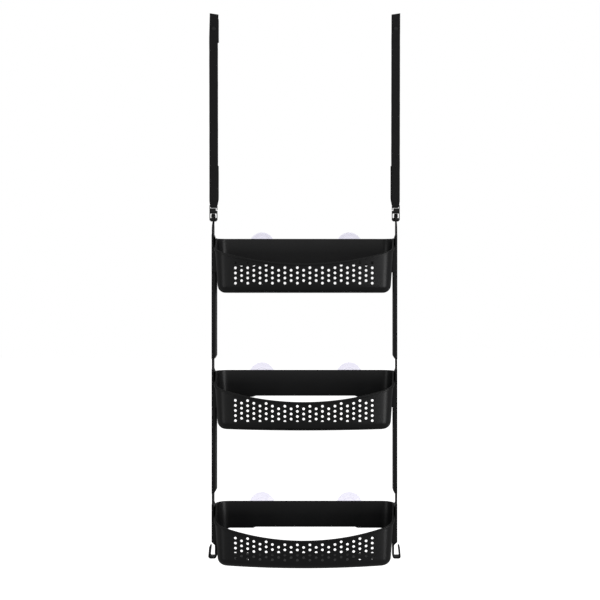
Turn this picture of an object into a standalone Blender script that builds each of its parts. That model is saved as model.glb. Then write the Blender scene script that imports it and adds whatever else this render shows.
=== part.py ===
"""Three-tier over-door shower caddy: two webbing straps on door hooks carry three perforated baskets.

Metres, +Z up. X runs along the door, +Y points to the door, and the origin is on the door's top
front edge, midway between the two hooks. Everything hangs in the plane y = 0.
"""

import math

import bmesh
import bpy
from mathutils import Vector, geometry

MM = 0.001

# Clearance between pieces that touch
GAP = 0.3 * MM

# Baskets
BASKET_DEPTH = 112.8 * MM
BASKET_HALF_WIDTH = 135.0 * MM
BASKET_HEIGHT = 83.3 * MM
SIDE_SPLAY = 0.034
WALL_SETBACK = 0.4043 * BASKET_DEPTH
FRONT_BOW_RADIUS = 386.0 * MM
FRONT_CORNER_RADIUS = 24.0 * MM
BACK_CORNER_RADIUS = 19.0 * MM
DRAFT = 0.07
WALL = 2.0 * MM
FLOOR = 2.2 * MM
FLOOR_FILLET = 12.0 * MM
LIP_OUT = 1.5 * MM
LIP_HEIGHT = 3.0 * MM
FRONT_DROP = 0.4826 * BASKET_HEIGHT
RIM_REACH = 0.823
BAND_HEIGHT = 0.48 * BASKET_HEIGHT
WINDOW_MARGIN = 13.0 * MM
WINDOW_ARCH = 1.6 * MM
WINDOW_SILL = 1.2 * MM

# Perforations of the front wall: columns each side of the middle one, and how many share a facet
HOLE_DIAMETER = 4.4 * MM
HOLE_PITCH = (BASKET_HALF_WIDTH - FRONT_CORNER_RADIUS) / 12.13
HOLE_COLUMNS = 11
FACET_COLUMNS = 3
HOLE_STEP = 7.5 * MM
HOLE_FOOT = 14.3 * MM
HOLE_EDGE = 5.5 * MM
HOLE_SIDES = 5

# Drain slots near the floor's ends
DRAIN_WIDTH = 7.0 * MM
DRAIN_LENGTH = 27.0 * MM

# Tiers
TIER_PITCH = 202.4 * MM
STRAP_DROP = 287.4 * MM
TOP_BAND = -STRAP_DROP - 49.4 * MM
TIERS = ("top", "middle", "bottom")

# Rails: hangers, connectors and towel hooks share one outer face
RAIL_OUTER = BASKET_HALF_WIDTH + 4.4 * MM
TAB_THICKNESS = 2.6 * MM
TAB_WIDTH = 18.0 * MM
HEAD_WIDTH = TAB_WIDTH + 4.0 * MM
HEAD_HEIGHT = 4.0 * MM
BRACKET_WIDTH = HEAD_WIDTH + 4.0 * MM
BRACKET_DROP = 52.5 * MM
CONNECTOR_THICKNESS = 6.4 * MM
SHOULDER_RISE = 4.5 * MM
SHOULDER_REACH = 1.6 * MM
MOUTH_RISE = 20.0 * MM
MOUTH_TAPER = 4.8 * MM
LIFT_TRAVEL = MOUTH_RISE - SHOULDER_RISE - 1.0 * MM
TONGUE_LENGTH = 14.0 * MM

# Towel hooks under the bottom basket
TOWEL_HOOK_DROP = BRACKET_DROP + 25.4 * MM
TOWEL_HOOK_REACH = 12.7 * MM
TOWEL_HOOK_ARM = 18.0 * MM
TOWEL_HOOK_THICKNESS = 2.5 * MM
TOWEL_HOOK_WIDTH = 20.0 * MM
TOWEL_HOOK_LEAN = 1.7 * MM

# Straps and their clips
STRAP_X = RAIL_OUTER - 1.8 * MM
STRAP_WIDTH = 13.2 * MM
STRAP_THICKNESS = 1.3 * MM
STRAP_RISE = 1.2 * MM
FOLD_LENGTH = 60.0 * MM
FLEX_GAP = 0.5 * MM
CLIP_TOP = -STRAP_DROP
CLIP_WIDTH = 12.0 * MM
CLIP_THICKNESS = 3.0 * MM
CLIP_CHEEK = 1.2 * MM
CLIP_BEVEL = 0.3 * MM
CLIP_BAR = 3.2 * MM
SLOT_HEIGHT = 3.0 * MM
CLIP_WEB = 6.9 * MM
HANG_BAR = 5.2 * MM
GATE = 1.1 * MM
CROOK_THICKNESS = 5.4 * MM
WINDOW_HEIGHT = CROOK_THICKNESS + 1.3 * MM

# Door hooks
DOOR_GAP = 38.0 * MM
HOOK_WIDTH = 8.6 * MM
HOOK_THICKNESS = 1.5 * MM
HOOK_FRONT_LEG = 29.4 * MM
FLEX_DROP = HOOK_FRONT_LEG + 0.8 * MM
HOOK_BACK_LEG = 34.0 * MM
HOOK_BEND = 3.0 * MM
RIVET_DIAMETER = 4.0 * MM
RIVET_HEAD = 7.4 * MM
RIVET_DROP = HOOK_FRONT_LEG - 7.9 * MM

# Suction cups
CUP_X = BASKET_HALF_WIDTH / 2 + 0.5 * MM
CUP_DROP = 9.2 * MM
CUP_DIAMETER = 40.0 * MM
CUP_DEPTH = 13.0 * MM
CUP_SKIN = 1.6 * MM
CUP_BOSS = 12.0 * MM
CUP_NECK = 5.8 * MM
CUP_BUTTON = 11.2 * MM
BUTTON_THICKNESS = 2.6 * MM
CUP_TAB_WIDTH = 7.0 * MM
CUP_TAB_REACH = 4.0 * MM
HOLDER_WALL = 2.0 * MM
HOLDER_PLATE = 1.8 * MM

# Derived places
BACK_FACE = WALL_SETBACK
FRONT_FACE = BACK_FACE - BASKET_DEPTH
TAB_OUT = RAIL_OUTER
TAB_IN = RAIL_OUTER - TAB_THICKNESS
TAB_MID = (TAB_IN + TAB_OUT) / 2
CLIP_SLOT_TOP = CLIP_TOP - CLIP_BAR
CLIP_SLOT_FOOT = CLIP_SLOT_TOP - SLOT_HEIGHT
CLIP_WINDOW_TOP = CLIP_SLOT_FOOT - CLIP_WEB
CLIP_WINDOW_FOOT = CLIP_WINDOW_TOP - WINDOW_HEIGHT
SWING_Z = CLIP_WINDOW_FOOT - HANG_BAR / 2
LOOP_Z = CLIP_TOP - CLIP_BAR / 2
LEG_FRONT = STRAP_THICKNESS / 2 + GAP
LEG_BACK = LEG_FRONT + HOOK_THICKNESS


def clear_scene():
    for obj in list(bpy.data.objects):
        bpy.data.objects.remove(obj, do_unlink=True)


def finish_material(name, color, roughness, transmission=0.0):
    material = bpy.data.materials.new(name)
    material.use_nodes = True
    shader = material.node_tree.nodes["Principled BSDF"]
    shader.inputs["Base Color"].default_value = (*color, 1.0)
    shader.inputs["Roughness"].default_value = roughness
    shader.inputs["Transmission Weight"].default_value = transmission
    return material


def make_materials():
    return {
        "plastic": finish_material("black_plastic", (0.012, 0.012, 0.013), 0.42),
        "webbing": finish_material("black_webbing", (0.010, 0.010, 0.011), 0.85),
        "steel": finish_material("black_coated_steel", (0.014, 0.014, 0.015), 0.38),
        "vinyl": finish_material("clear_vinyl", (0.78, 0.75, 0.84), 0.18, 0.6),
    }


def mesh_of(name, bm):
    bmesh.ops.recalc_face_normals(bm, faces=bm.faces)
    mesh = bpy.data.meshes.new(name)
    bm.to_mesh(mesh)
    bm.free()
    return mesh


def add_object(name, mesh, material, location=(0, 0, 0)):
    obj = bpy.data.objects.new(name, mesh)
    bpy.context.collection.objects.link(obj)
    obj.location = location
    if not mesh.materials:
        mesh.materials.append(material)
    return obj


def prism(bm, loops, low, high, axis):
    """Adds a straight prism: loops are outlines in the two other axes, the first one outside and the rest holes."""
    def place(point, along):
        a, b = point
        return {"X": (along, a, b), "Y": (a, along, b), "Z": (a, b, along)}[axis]

    outlines = [[Vector((a, b, 0)) for a, b in loop] for loop in loops]
    flat = [point for outline in outlines for point in outline]
    faces = geometry.tessellate_polygon(outlines) if len(loops) > 1 else [range(len(flat))]
    ends = [[bm.verts.new(place((v.x, v.y), along)) for v in flat] for along in (low, high)]
    for end in ends:
        for face in faces:
            bm.faces.new([end[i] for i in face])
    first = 0
    for loop in loops:
        count = len(loop)
        for i in range(count):
            a, b = first + i, first + (i + 1) % count
            bm.faces.new([ends[0][a], ends[0][b], ends[1][b], ends[1][a]])
        first += count


def prism_mesh(name, loops, low, high, axis):
    bm = bmesh.new()
    prism(bm, loops, low, high, axis)
    return mesh_of(name, bm)


def rectangle(a_low, a_high, b_low, b_high):
    return [(a_low, b_low), (a_high, b_low), (a_high, b_high), (a_low, b_high)]


def arc(center, radius, start, end, steps):
    """Points from angle start to end, in degrees, both included."""
    points = []
    for i in range(steps + 1):
        angle = math.radians(start + (end - start) * i / steps)
        points.append((center[0] + radius * math.cos(angle), center[1] + radius * math.sin(angle)))
    return points


def ring_outline(center, diameter, sides, turn=0.0):
    return arc(center, diameter / 2, turn, turn + 360 - 360 / sides, sides - 1)


def rounded(corners, radius, steps=3):
    """The outline with each corner turned into an arc of this radius, or one per corner where a list is given."""
    radii = radius if isinstance(radius, (list, tuple)) else [radius] * len(corners)
    points = []
    for i, (corner, r) in enumerate(zip(corners, radii)):
        here = Vector(corner)
        back = (Vector(corners[i - 1]) - here).normalized()
        on = (Vector(corners[(i + 1) % len(corners)]) - here).normalized()
        half = back.angle(on) / 2
        if r <= 0 or half > math.radians(88):
            points.append(corner)
            continue
        center = here + (back + on).normalized() * (r / math.sin(half))
        start = here + back * (r / math.tan(half)) - center
        end = here + on * (r / math.tan(half)) - center
        sweep = math.atan2(start.x * end.y - start.y * end.x, start.dot(end))
        for k in range(steps + 1):
            angle = math.atan2(start.y, start.x) + sweep * k / steps
            points.append((center.x + r * math.cos(angle), center.y + r * math.sin(angle)))
    return points


def strip_outline(path, thickness):
    """The closed outline of a strip of this thickness along a path of points."""
    left, right = [], []
    count = len(path)
    for i, point in enumerate(path):
        here = Vector(point)
        ahead = (Vector(path[min(i + 1, count - 1)]) - here) if i < count - 1 else None
        behind = (here - Vector(path[i - 1])) if i else None
        first = (behind or ahead).normalized()
        second = (ahead or behind).normalized()
        middle = (first + second).normalized()
        normal = Vector((-middle.y, middle.x))
        reach = thickness / 2 / max(0.3, middle.dot(first))
        left.append(tuple(here + normal * reach))
        right.append(tuple(here - normal * reach))
    return left + right[::-1]


def bent_path(corners, radius, steps=3):
    """An open path whose inner corners are arcs of this radius."""
    outline = rounded(corners, [0] + [radius] * (len(corners) - 2) + [0], steps)
    return outline


def combine(name, target, cutters, material):
    """One mesh from a target mesh and a list of (operation, mesh), joined or cut in order."""
    base = add_object(name + "_blank", target, material)
    tools = []
    for operation, mesh in cutters:
        tool = add_object(name + "_tool", mesh, material)
        tool.hide_render = True
        tool.display_type = "WIRE"
        modifier = base.modifiers.new(operation.lower(), "BOOLEAN")
        modifier.operation = operation
        modifier.solver = "EXACT"
        modifier.object = tool
        tools.append(tool)
    bpy.context.view_layer.update()
    graph = bpy.context.evaluated_depsgraph_get()
    mesh = bpy.data.meshes.new_from_object(base.evaluated_get(graph))
    mesh.name = name
    for obj in [base, *tools]:
        bpy.data.objects.remove(obj, do_unlink=True)
    return mesh


def tier_top(index):
    return TOP_BAND - index * TIER_PITCH


# Basket

def plan_half():
    """The right half of the basket's outline at its top, from the front's middle facet to the back's centre.

    Each entry is (x, y, normal angle from -Y, run along the outline). The front's facets meet between hole columns.
    """
    splay = math.atan(SIDE_SPLAY)
    reach = BASKET_HALF_WIDTH * math.cos(splay)
    bow_y = FRONT_FACE + FRONT_BOW_RADIUS
    spare = FRONT_BOW_RADIUS - FRONT_CORNER_RADIUS
    turn = math.asin((reach - FRONT_CORNER_RADIUS + bow_y * math.sin(splay)) / spare) - splay
    corner = (spare * math.sin(turn), bow_y - spare * math.cos(turn))
    back_y = BACK_FACE - BACK_CORNER_RADIUS
    back = ((reach - BACK_CORNER_RADIUS + back_y * math.sin(splay)) / math.cos(splay), back_y)
    side = math.pi / 2 - splay

    def along(center, radius, start, end, steps):
        for i in range(steps + 1):
            angle = start + (end - start) * i / steps
            yield center[0] + radius * math.sin(angle), center[1] - radius * math.cos(angle), angle

    joins = [FACET_COLUMNS * (k + 0.5) * HOLE_PITCH for k in range(HOLE_COLUMNS // FACET_COLUMNS + 1)]
    entries = []
    for x in joins:
        angle = math.asin(x / FRONT_BOW_RADIUS)
        entries.append((x, bow_y - FRONT_BOW_RADIUS * math.cos(angle), angle))
    entries += list(along(corner, FRONT_CORNER_RADIUS, turn, side, 5))
    first_side = entries[-1]
    back_arc = list(along(back, BACK_CORNER_RADIUS, side, math.pi, 5))
    side_steps = 4
    for i in range(1, side_steps):
        share = i / side_steps
        x = first_side[0] + (back_arc[0][0] - first_side[0]) * share
        y = first_side[1] + (back_arc[0][1] - first_side[1]) * share
        entries.append((x, y, side))
    entries += back_arc
    entries.append((0, BACK_FACE, math.pi))
    runs = [FRONT_BOW_RADIUS * entries[0][2]]
    for before, after in zip(entries, entries[1:]):
        runs.append(runs[-1] + math.dist(before[:2], after[:2]))
    return [(*entry, run) for entry, run in zip(entries, runs)]


def rim_z(run, back_run):
    """Height of the rim below the band's top: a parabola along the outline, eased into the level band."""
    share = run / (RIM_REACH * back_run)
    fall = FRONT_DROP * (1 - share * share)
    ease = 2.0 * MM
    return -(fall + math.sqrt(fall * fall + ease * ease)) / 2 + ease / 2 * math.exp(-abs(fall) / ease)


def inset(depth, angle):
    """How far the wall has come in at this depth below the band's top: none at the straight back."""
    rear = max(0.0, -math.cos(angle))
    return DRAFT * depth * (1 - rear * rear)


def basket_section(entry, back_run):
    """The wall's section at one place of the outline, from the floor's underside over the rim to its inside."""
    x, y, angle, run = entry
    rim = rim_z(run, back_run)
    foot = -BASKET_HEIGHT

    def at(inward, z):
        return (x - math.sin(angle) * inward, y + math.cos(angle) * inward, z)

    points = []
    base = inset(BASKET_HEIGHT - FLOOR_FILLET, angle)
    for degrees in (0, 30, 60):
        a = math.radians(degrees)
        points.append(at(base + FLOOR_FILLET * (1 - math.sin(a)), foot + FLOOR_FILLET * (1 - math.cos(a))))
    points.append(at(base, foot + FLOOR_FILLET))
    lip_foot = rim - LIP_HEIGHT
    points.append(at(inset(-lip_foot, angle), lip_foot))
    points.append(at(inset(-lip_foot, angle) - LIP_OUT, lip_foot))
    points.append(at(inset(-rim, angle) - LIP_OUT, rim - 0.7 * MM))
    points.append(at(inset(-rim, angle) - LIP_OUT + 0.6 * MM, rim))
    points.append(at(inset(-rim, angle) + WALL, rim))
    inner = FLOOR_FILLET - WALL
    points.append(at(base + WALL, foot + FLOOR + inner))
    for degrees in (45, 0):
        a = math.radians(degrees)
        points.append(at(base + WALL + inner * (1 - math.sin(a)), foot + FLOOR + inner * (1 - math.cos(a))))
    return points


def basket_shell():
    half = plan_half()
    back_run = half[-2][3]
    sections = [basket_section(entry, back_run) for entry in half]
    mirrored = [[(-x, y, z) for x, y, z in section] for section in sections[-2::-1]]
    sections += mirrored
    bm = bmesh.new()
    columns = [[bm.verts.new(point) for point in section] for section in sections]
    count = len(columns)
    for i in range(count):
        here, on = columns[i], columns[(i + 1) % count]
        if i >= len(half):
            here, on = on, here
        for k in range(len(here) - 1):
            bm.faces.new([here[k], on[k], on[k + 1]])
            bm.faces.new([here[k], on[k + 1], here[k + 1]])
    bm.faces.new([column[0] for column in columns])
    bm.faces.new([column[-1] for column in columns])
    return mesh_of("basket_shell", bm)


def wall_half_width(y, depth):
    """Outside half width of the straight side wall at this y and depth below the band's top."""
    return BASKET_HALF_WIDTH + SIDE_SPLAY * y - DRAFT * depth


def side_rim(y):
    """Height of the rim where the straight side wall passes this y."""
    half = plan_half()
    back_run = half[-2][3]
    side = [entry for entry in half if entry[0] > BASKET_HALF_WIDTH - FRONT_CORNER_RADIUS]
    for before, after in zip(side, side[1:]):
        if before[1] <= y <= after[1]:
            share = (y - before[1]) / (after[1] - before[1])
            return rim_z(before[3] + share * (after[3] - before[3]), back_run)
    return 0.0


def front_rim(x):
    """Height of the rim at this x along the bowed front."""
    return rim_z(FRONT_BOW_RADIUS * math.asin(x / FRONT_BOW_RADIUS), plan_half()[-2][3])


def window_outline():
    """The opening under the back band: its top steps down a little towards both ends."""
    top = -BAND_HEIGHT
    foot = -BASKET_HEIGHT + FLOOR + WINDOW_SILL
    reach = BASKET_HALF_WIDTH - WINDOW_MARGIN
    shoulder = reach * 0.66
    low = top - WINDOW_ARCH
    corners = [(-reach, foot), (reach, foot), (reach, low), (shoulder, low), (shoulder - 4 * MM, top)]
    corners += [(-shoulder + 4 * MM, top), (-shoulder, low), (-reach, low)]
    return rounded(corners, [3 * MM, 3 * MM, 6 * MM, 0, 0, 0, 0, 6 * MM], 2)


def hole_places():
    """Centres (x, height above the basket's foot) of the perforations, in staggered columns that follow the rim."""
    places = []
    for column in range(-HOLE_COLUMNS, HOLE_COLUMNS + 1):
        x = column * HOLE_PITCH
        height = HOLE_FOOT + (0.5 * HOLE_STEP if (HOLE_COLUMNS - column) % 2 else 0.0)
        limit = BASKET_HEIGHT + front_rim(abs(x)) - HOLE_EDGE
        while height <= limit:
            places.append((x, height))
            height += HOLE_STEP
    return places


def hole_cutters():
    bm = bmesh.new()
    for x, height in hole_places():
        outline = ring_outline((x, height - BASKET_HEIGHT), HOLE_DIAMETER, HOLE_SIDES, 30)
        prism(bm, [outline], FRONT_FACE - 5 * MM, FRONT_FACE + 40 * MM, "Y")
    return mesh_of("hole_cutters", bm)


def drain_cutters():
    bm = bmesh.new()
    last = HOLE_COLUMNS * HOLE_PITCH
    for x in (last, last - 2 * HOLE_PITCH):
        for sign in (-1, 1):
            corners = rectangle(
                sign * x - DRAIN_WIDTH / 2, sign * x + DRAIN_WIDTH / 2, -DRAIN_LENGTH / 2, DRAIN_LENGTH / 2
            )
            outline = rounded(corners, DRAIN_WIDTH * 0.49, 2)
            prism(bm, [outline], -BASKET_HEIGHT - 2 * MM, -BASKET_HEIGHT + FLOOR + 4 * MM, "Z")
    return mesh_of("drain_cutters", bm)


def holder_front():
    """The plane on the band's back that the cups' buttons sit against."""
    return BACK_FACE + GAP


def cup_holders():
    """Keyhole pockets on the band's back, open at the top, as one mesh of two boxes."""
    bm = bmesh.new()
    pocket = CUP_BUTTON / 2 + 1.3 * GAP
    deep = holder_front() + BUTTON_THICKNESS + GAP
    for sign in (-1, 1):
        x = sign * CUP_X
        corners = rectangle(x - pocket - HOLDER_WALL, x + pocket + HOLDER_WALL, 0, 0)
        low, high = -CUP_DROP - pocket - HOLDER_WALL, -CUP_DROP + pocket - 0.5 * MM
        outline = rounded([(corners[0][0], low), (corners[1][0], low), (corners[1][0], high), (corners[0][0], high)], 1.5 * MM, 2)
        prism(bm, [outline], BACK_FACE - WALL / 2, deep + HOLDER_PLATE, "Y")
    return mesh_of("cup_holders", bm)


def pocket_cutters():
    """The inside of each holder and the slot that the cup's neck drops through."""
    bm = bmesh.new()
    pocket = CUP_BUTTON / 2 + 1.3 * GAP
    deep = holder_front() + BUTTON_THICKNESS + GAP
    for sign in (-1, 1):
        center = (sign * CUP_X, -CUP_DROP)
        inside = arc(center, pocket, 180, 360, 6)
        inside += [(center[0] + pocket, 3 * MM), (center[0] - pocket, 3 * MM)]
        prism(bm, [inside], BACK_FACE, deep, "Y")
    return mesh_of("pocket_cutters", bm)


def slot_cutters():
    bm = bmesh.new()
    slot = CUP_NECK / 2 + 1.3 * GAP
    deep = holder_front() + BUTTON_THICKNESS + GAP
    for sign in (-1, 1):
        center = (sign * CUP_X, -CUP_DROP)
        neck = arc(center, slot, 180, 360, 6)
        neck += [(center[0] + slot, 3 * MM), (center[0] - slot, 3 * MM)]
        prism(bm, [neck], deep - 0.5 * MM, deep + HOLDER_PLATE + 2 * MM, "Y")
    return mesh_of("slot_cutters", bm)


def basket_mesh(material):
    window = prism_mesh("window", [window_outline()], BACK_FACE - 22 * MM, BACK_FACE + 10 * MM, "Y")
    steps = [
        ("UNION", cup_holders()),
        ("DIFFERENCE", pocket_cutters()),
        ("DIFFERENCE", slot_cutters()),
        ("DIFFERENCE", window),
        ("DIFFERENCE", drain_cutters()),
        ("DIFFERENCE", hole_cutters()),
    ]
    return combine("basket", basket_shell(), steps, material)


def add_baskets(materials):
    mesh = basket_mesh(materials["plastic"])
    for index, tier in enumerate(TIERS):
        add_object(f"basket_{tier}", mesh, materials["plastic"], (0, 0, tier_top(index)))


# Hangers: a bracket beside each basket with a tab that rises to what carries it

def bracket_block(bm, sign):
    """The block beside the basket: its inner side follows the wall, and its ledge carries the basket's lip."""
    half = BRACKET_WIDTH / 2
    corners = []
    for y in (-half, half):
        ledge = side_rim(y) - LIP_HEIGHT - 2 * GAP
        cheek = wall_half_width(y, 0) + LIP_OUT + GAP
        under = wall_half_width(y, -ledge) + GAP
        foot = wall_half_width(y, BRACKET_DROP) + GAP
        profile = [
            (foot, -BRACKET_DROP), (RAIL_OUTER, -BRACKET_DROP), (RAIL_OUTER, SHOULDER_RISE),
            (TAB_IN, SHOULDER_RISE), (cheek - SHOULDER_REACH, 1.2 * MM), (cheek - SHOULDER_REACH, GAP), (cheek, GAP),
            (cheek, ledge), (under, ledge),
        ]
        corners.append([bm.verts.new((sign * x, y, z)) for x, z in profile])
    near, far = corners
    count = len(near)
    for end in corners:
        bm.faces.new(end)
    for i in range(count):
        on = (i + 1) % count
        bm.faces.new([near[i], near[on], far[on], far[i]])


def tongue_span():
    """The x range of the tongue that connectors and towel hooks push up into a bracket."""
    middle = RAIL_OUTER - CONNECTOR_THICKNESS / 2
    return middle - TAB_THICKNESS / 2, middle + TAB_THICKNESS / 2


def tongue_pocket(sign):
    low, high = tongue_span()
    ends = sorted((sign * (low - GAP), sign * (high + GAP)))
    outline = rectangle(*ends, -BRACKET_DROP - 1 * MM, -BRACKET_DROP + TONGUE_LENGTH + GAP)
    return prism_mesh("tongue_pocket", [outline], -TAB_WIDTH / 2 - GAP, TAB_WIDTH / 2 + GAP, "Y")


def crook_outline(top):
    """Side view of the top tier's tab: a strip that narrows into a hook over the clip's lower bar."""
    eye = math.hypot(CLIP_THICKNESS / 2 - CLIP_BEVEL, HANG_BAR / 2) + 1.3 * GAP
    outer = eye + CROOK_THICKNESS
    center = (0, SWING_Z - top)
    half = TAB_WIDTH / 2
    shank = -4 * MM
    shoulder = center[1] - outer - 4 * MM
    outline = [(half, shank), (half, shoulder)]
    outline += arc(center, outer, -35, 200, 12)
    outline += arc(center, eye, 200, -60, 12)
    mouth = math.radians(-120)
    outline.append((center[0] + outer * math.cos(mouth), center[1] + outer * math.sin(mouth)))
    outline += [(-half, shoulder), (-half, shank)]
    return outline


def head_outline():
    """Side view of a lower tier's tab: a plain strip with a wider head that rests in the connector above."""
    half, head = TAB_WIDTH / 2, HEAD_WIDTH / 2
    shank = -4 * MM
    foot = chamber_foot() + GAP
    corners = [
        (half, shank), (half, foot), (head, foot), (head, foot + HEAD_HEIGHT),
        (-head, foot + HEAD_HEIGHT), (-head, foot), (-half, foot), (-half, shank),
    ]
    return rounded(corners, [0, 0.8 * MM, 0, 1.5 * MM, 1.5 * MM, 0, 0.8 * MM, 0], 2)


def chamber_foot():
    """Height above a lower tier's band top of the ledge in the connector that its tab's head rests on."""
    return MOUTH_RISE + MOUTH_TAPER + 16.2 * MM


def add_hangers(materials):
    plastic = materials["plastic"]
    for index, tier in enumerate(TIERS):
        top = tier_top(index)
        for side, sign in (("left", -1), ("right", 1)):
            block = bmesh.new()
            bracket_block(block, sign)
            outline = head_outline() if index else crook_outline(top)
            tab = prism_mesh("tab", [outline], *sorted((sign * TAB_IN, sign * TAB_OUT)), "X")
            name = f"hanger_{tier}_{side}"
            steps = [("UNION", tab), ("DIFFERENCE", tongue_pocket(sign))]
            mesh = combine(name, mesh_of("bracket", block), steps, plastic)
            add_object(name, mesh, plastic, (0, 0, top))


# Connectors: bars between the tiers, with a T slot at the foot for the next tab

def tongue_mesh(sign):
    """The flat tongue that stands up from a connector or towel hook into the bracket above it."""
    low, high = sorted(sign * x for x in tongue_span())
    top = -BRACKET_DROP - GAP
    outline = rectangle(-TAB_WIDTH / 2, TAB_WIDTH / 2, top - 2 * MM, top + TONGUE_LENGTH)
    return prism_mesh("tongue", [outline], low, high, "X")


def connector_mesh(name, sign, material):
    inner = RAIL_OUTER - CONNECTOR_THICKNESS
    top = -BRACKET_DROP - GAP
    mouth = -TIER_PITCH + MOUTH_RISE
    groove = TAB_IN - GAP
    outline = [
        (inner, top), (inner, mouth + MOUTH_TAPER), (groove - 0.8 * MM, mouth), (RAIL_OUTER, mouth), (RAIL_OUTER, top),
    ]
    half = BRACKET_WIDTH / 2
    body = prism_mesh("bar", [[(sign * x, z) for x, z in outline]], -half, half, "Y")
    narrow = TAB_WIDTH / 2 + GAP
    wide = HEAD_WIDTH / 2 + GAP
    ledge = -TIER_PITCH + chamber_foot()
    ceiling = ledge + HEAD_HEIGHT + LIFT_TRAVEL + 2 * GAP
    slot_low, slot_high = sorted((sign * groove, sign * (RAIL_OUTER + 2 * MM)))
    slot = [
        (-narrow, mouth - 2 * MM), (narrow, mouth - 2 * MM), (narrow, ledge), (wide, ledge),
        (wide, ceiling), (-wide, ceiling), (-wide, ledge), (-narrow, ledge),
    ]
    t_slot = prism_mesh("t_slot", [slot], slot_low, slot_high, "X")
    return combine(name, body, [("UNION", tongue_mesh(sign)), ("DIFFERENCE", t_slot)], material)


def add_connectors(materials):
    plastic = materials["plastic"]
    for index, level in enumerate(("upper", "lower")):
        for side, sign in (("left", -1), ("right", 1)):
            name = f"connector_{level}_{side}"
            mesh = connector_mesh(name, sign, plastic)
            add_object(name, mesh, plastic, (0, 0, tier_top(index)))


# Towel hooks under the bottom brackets

def towel_outline():
    """Front view of a right towel hook: the block under the bracket, running down into a strip bent up outside."""
    top = -BRACKET_DROP - GAP
    thick = TOWEL_HOOK_THICKNESS
    stem = wall_half_width(TOWEL_HOOK_WIDTH / 2, BRACKET_DROP) + 2 * GAP
    shoulder = top - 0.6 * MM
    waist = shoulder - (RAIL_OUTER - stem - thick)
    foot = -TOWEL_HOOK_DROP
    reach = stem + TOWEL_HOOK_REACH
    lip = foot + TOWEL_HOOK_ARM
    corners = [
        (stem, top), (stem, foot), (reach, foot), (reach - TOWEL_HOOK_LEAN, lip), (reach - TOWEL_HOOK_LEAN - thick, lip),
        (reach - thick, foot + thick), (stem + thick, foot + thick), (stem + thick, waist), (RAIL_OUTER, shoulder),
        (RAIL_OUTER, top),
    ]
    bend = 3.4 * MM
    return rounded(corners, [0, bend, bend, 0.4 * MM, 0.4 * MM, bend - thick, bend - thick, 1 * MM, 1 * MM, 0], 4)


def add_towel_hooks(materials):
    plastic = materials["plastic"]
    half = TOWEL_HOOK_WIDTH / 2
    for side, sign in (("left", -1), ("right", 1)):
        name = f"towel_hook_{side}"
        bent = prism_mesh(name, [[(sign * x, z) for x, z in towel_outline()]], -half, half, "Y")
        mesh = combine(name, bent, [("UNION", tongue_mesh(sign))], plastic)
        add_object(name, mesh, plastic, (0, 0, tier_top(2)))


# Straps, clips and door hooks

def add_straps(materials):
    webbing = materials["webbing"]
    half = STRAP_THICKNESS / 2
    fold_top = CLIP_TOP + 2 * MM + FOLD_LENGTH
    bar = CLIP_BAR / 2 + GAP
    wrap = bar + STRAP_THICKNESS
    wide_foot = CLIP_TOP + 2.3 * MM
    body = [
        (-half, -FLEX_DROP - FLEX_GAP), (-half, fold_top), (-2 * half, fold_top - 1 * MM), (-2 * half, wide_foot),
        (2 * half, wide_foot), (2 * half, fold_top - 1 * MM), (half, fold_top), (half, -FLEX_DROP - FLEX_GAP),
    ]
    knee = 0.8 * bar
    loop = [(-1.7 * half, wide_foot + 1 * MM), (-wrap, LOOP_Z + knee), (-wrap, LOOP_Z - knee)]
    loop += [(-knee, LOOP_Z - wrap), (knee, LOOP_Z - wrap), (wrap, LOOP_Z - knee), (wrap, LOOP_Z + knee)]
    loop += [(1.7 * half, wide_foot + 1 * MM)]
    eye = rounded(rectangle(-bar, bar, LOOP_Z - bar, LOOP_Z + bar), 0.4 * MM, 1)
    loop_half = CLIP_WIDTH / 2 - CLIP_CHEEK - GAP
    for side, sign in (("left", -1), ("right", 1)):
        x = sign * STRAP_X
        wide = (x - STRAP_WIDTH / 2, x + STRAP_WIDTH / 2)
        main = prism_mesh("webbing", [body], *wide, "X")
        narrow = prism_mesh("loop", [loop, eye], x - loop_half, x + loop_half, "X")
        mesh = combine(f"strap_{side}", main, [("UNION", narrow)], webbing)
        add_object(f"strap_{side}", mesh, webbing)
        hole = ring_outline((x, -RIVET_DROP), RIVET_DIAMETER + 2 * GAP, 12)
        anchor = [rectangle(*wide, -FLEX_DROP, STRAP_RISE), hole]
        add_object(f"strap_top_{side}", prism_mesh("strap_top", anchor, -half, half, "Y"), webbing)


def clip_outline(sign):
    """Front view of a strap clip: slot for the webbing, open through its inner cheek, and a window for the crook."""
    half = CLIP_WIDTH / 2
    inside = half - CLIP_CHEEK
    taper = 2.2 * MM
    foot = CLIP_WINDOW_FOOT - HANG_BAR
    gate_low = CLIP_SLOT_FOOT + 0.3 * MM
    gate_high = gate_low + GATE
    outer = [
        (-half, gate_high), (-half, CLIP_TOP), (half, CLIP_TOP), (half, foot + taper), (half - taper, foot),
        (-half + taper, foot), (-half, foot + taper), (-half, gate_low), (-inside, gate_low),
        (-inside, CLIP_SLOT_FOOT), (inside, CLIP_SLOT_FOOT), (inside, CLIP_SLOT_TOP), (-inside, CLIP_SLOT_TOP),
        (-inside, gate_high),
    ]
    window = rectangle(-inside, inside, CLIP_WINDOW_FOOT, CLIP_WINDOW_TOP)
    x = sign * STRAP_X
    return [[(x + sign * a, b) for a, b in loop] for loop in (outer, window)]


def add_clips(materials):
    plastic = materials["plastic"]
    for side, sign in (("left", -1), ("right", 1)):
        mesh = prism_mesh("clip", clip_outline(sign), -CLIP_THICKNESS / 2, CLIP_THICKNESS / 2, "Y")
        obj = add_object(f"strap_clip_{side}", mesh, plastic)
        bevel = obj.modifiers.new("edges", "BEVEL")
        bevel.width = CLIP_BEVEL
        bevel.segments = 1
        bevel.limit_method = "ANGLE"
        bevel.angle_limit = math.radians(60)


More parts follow.
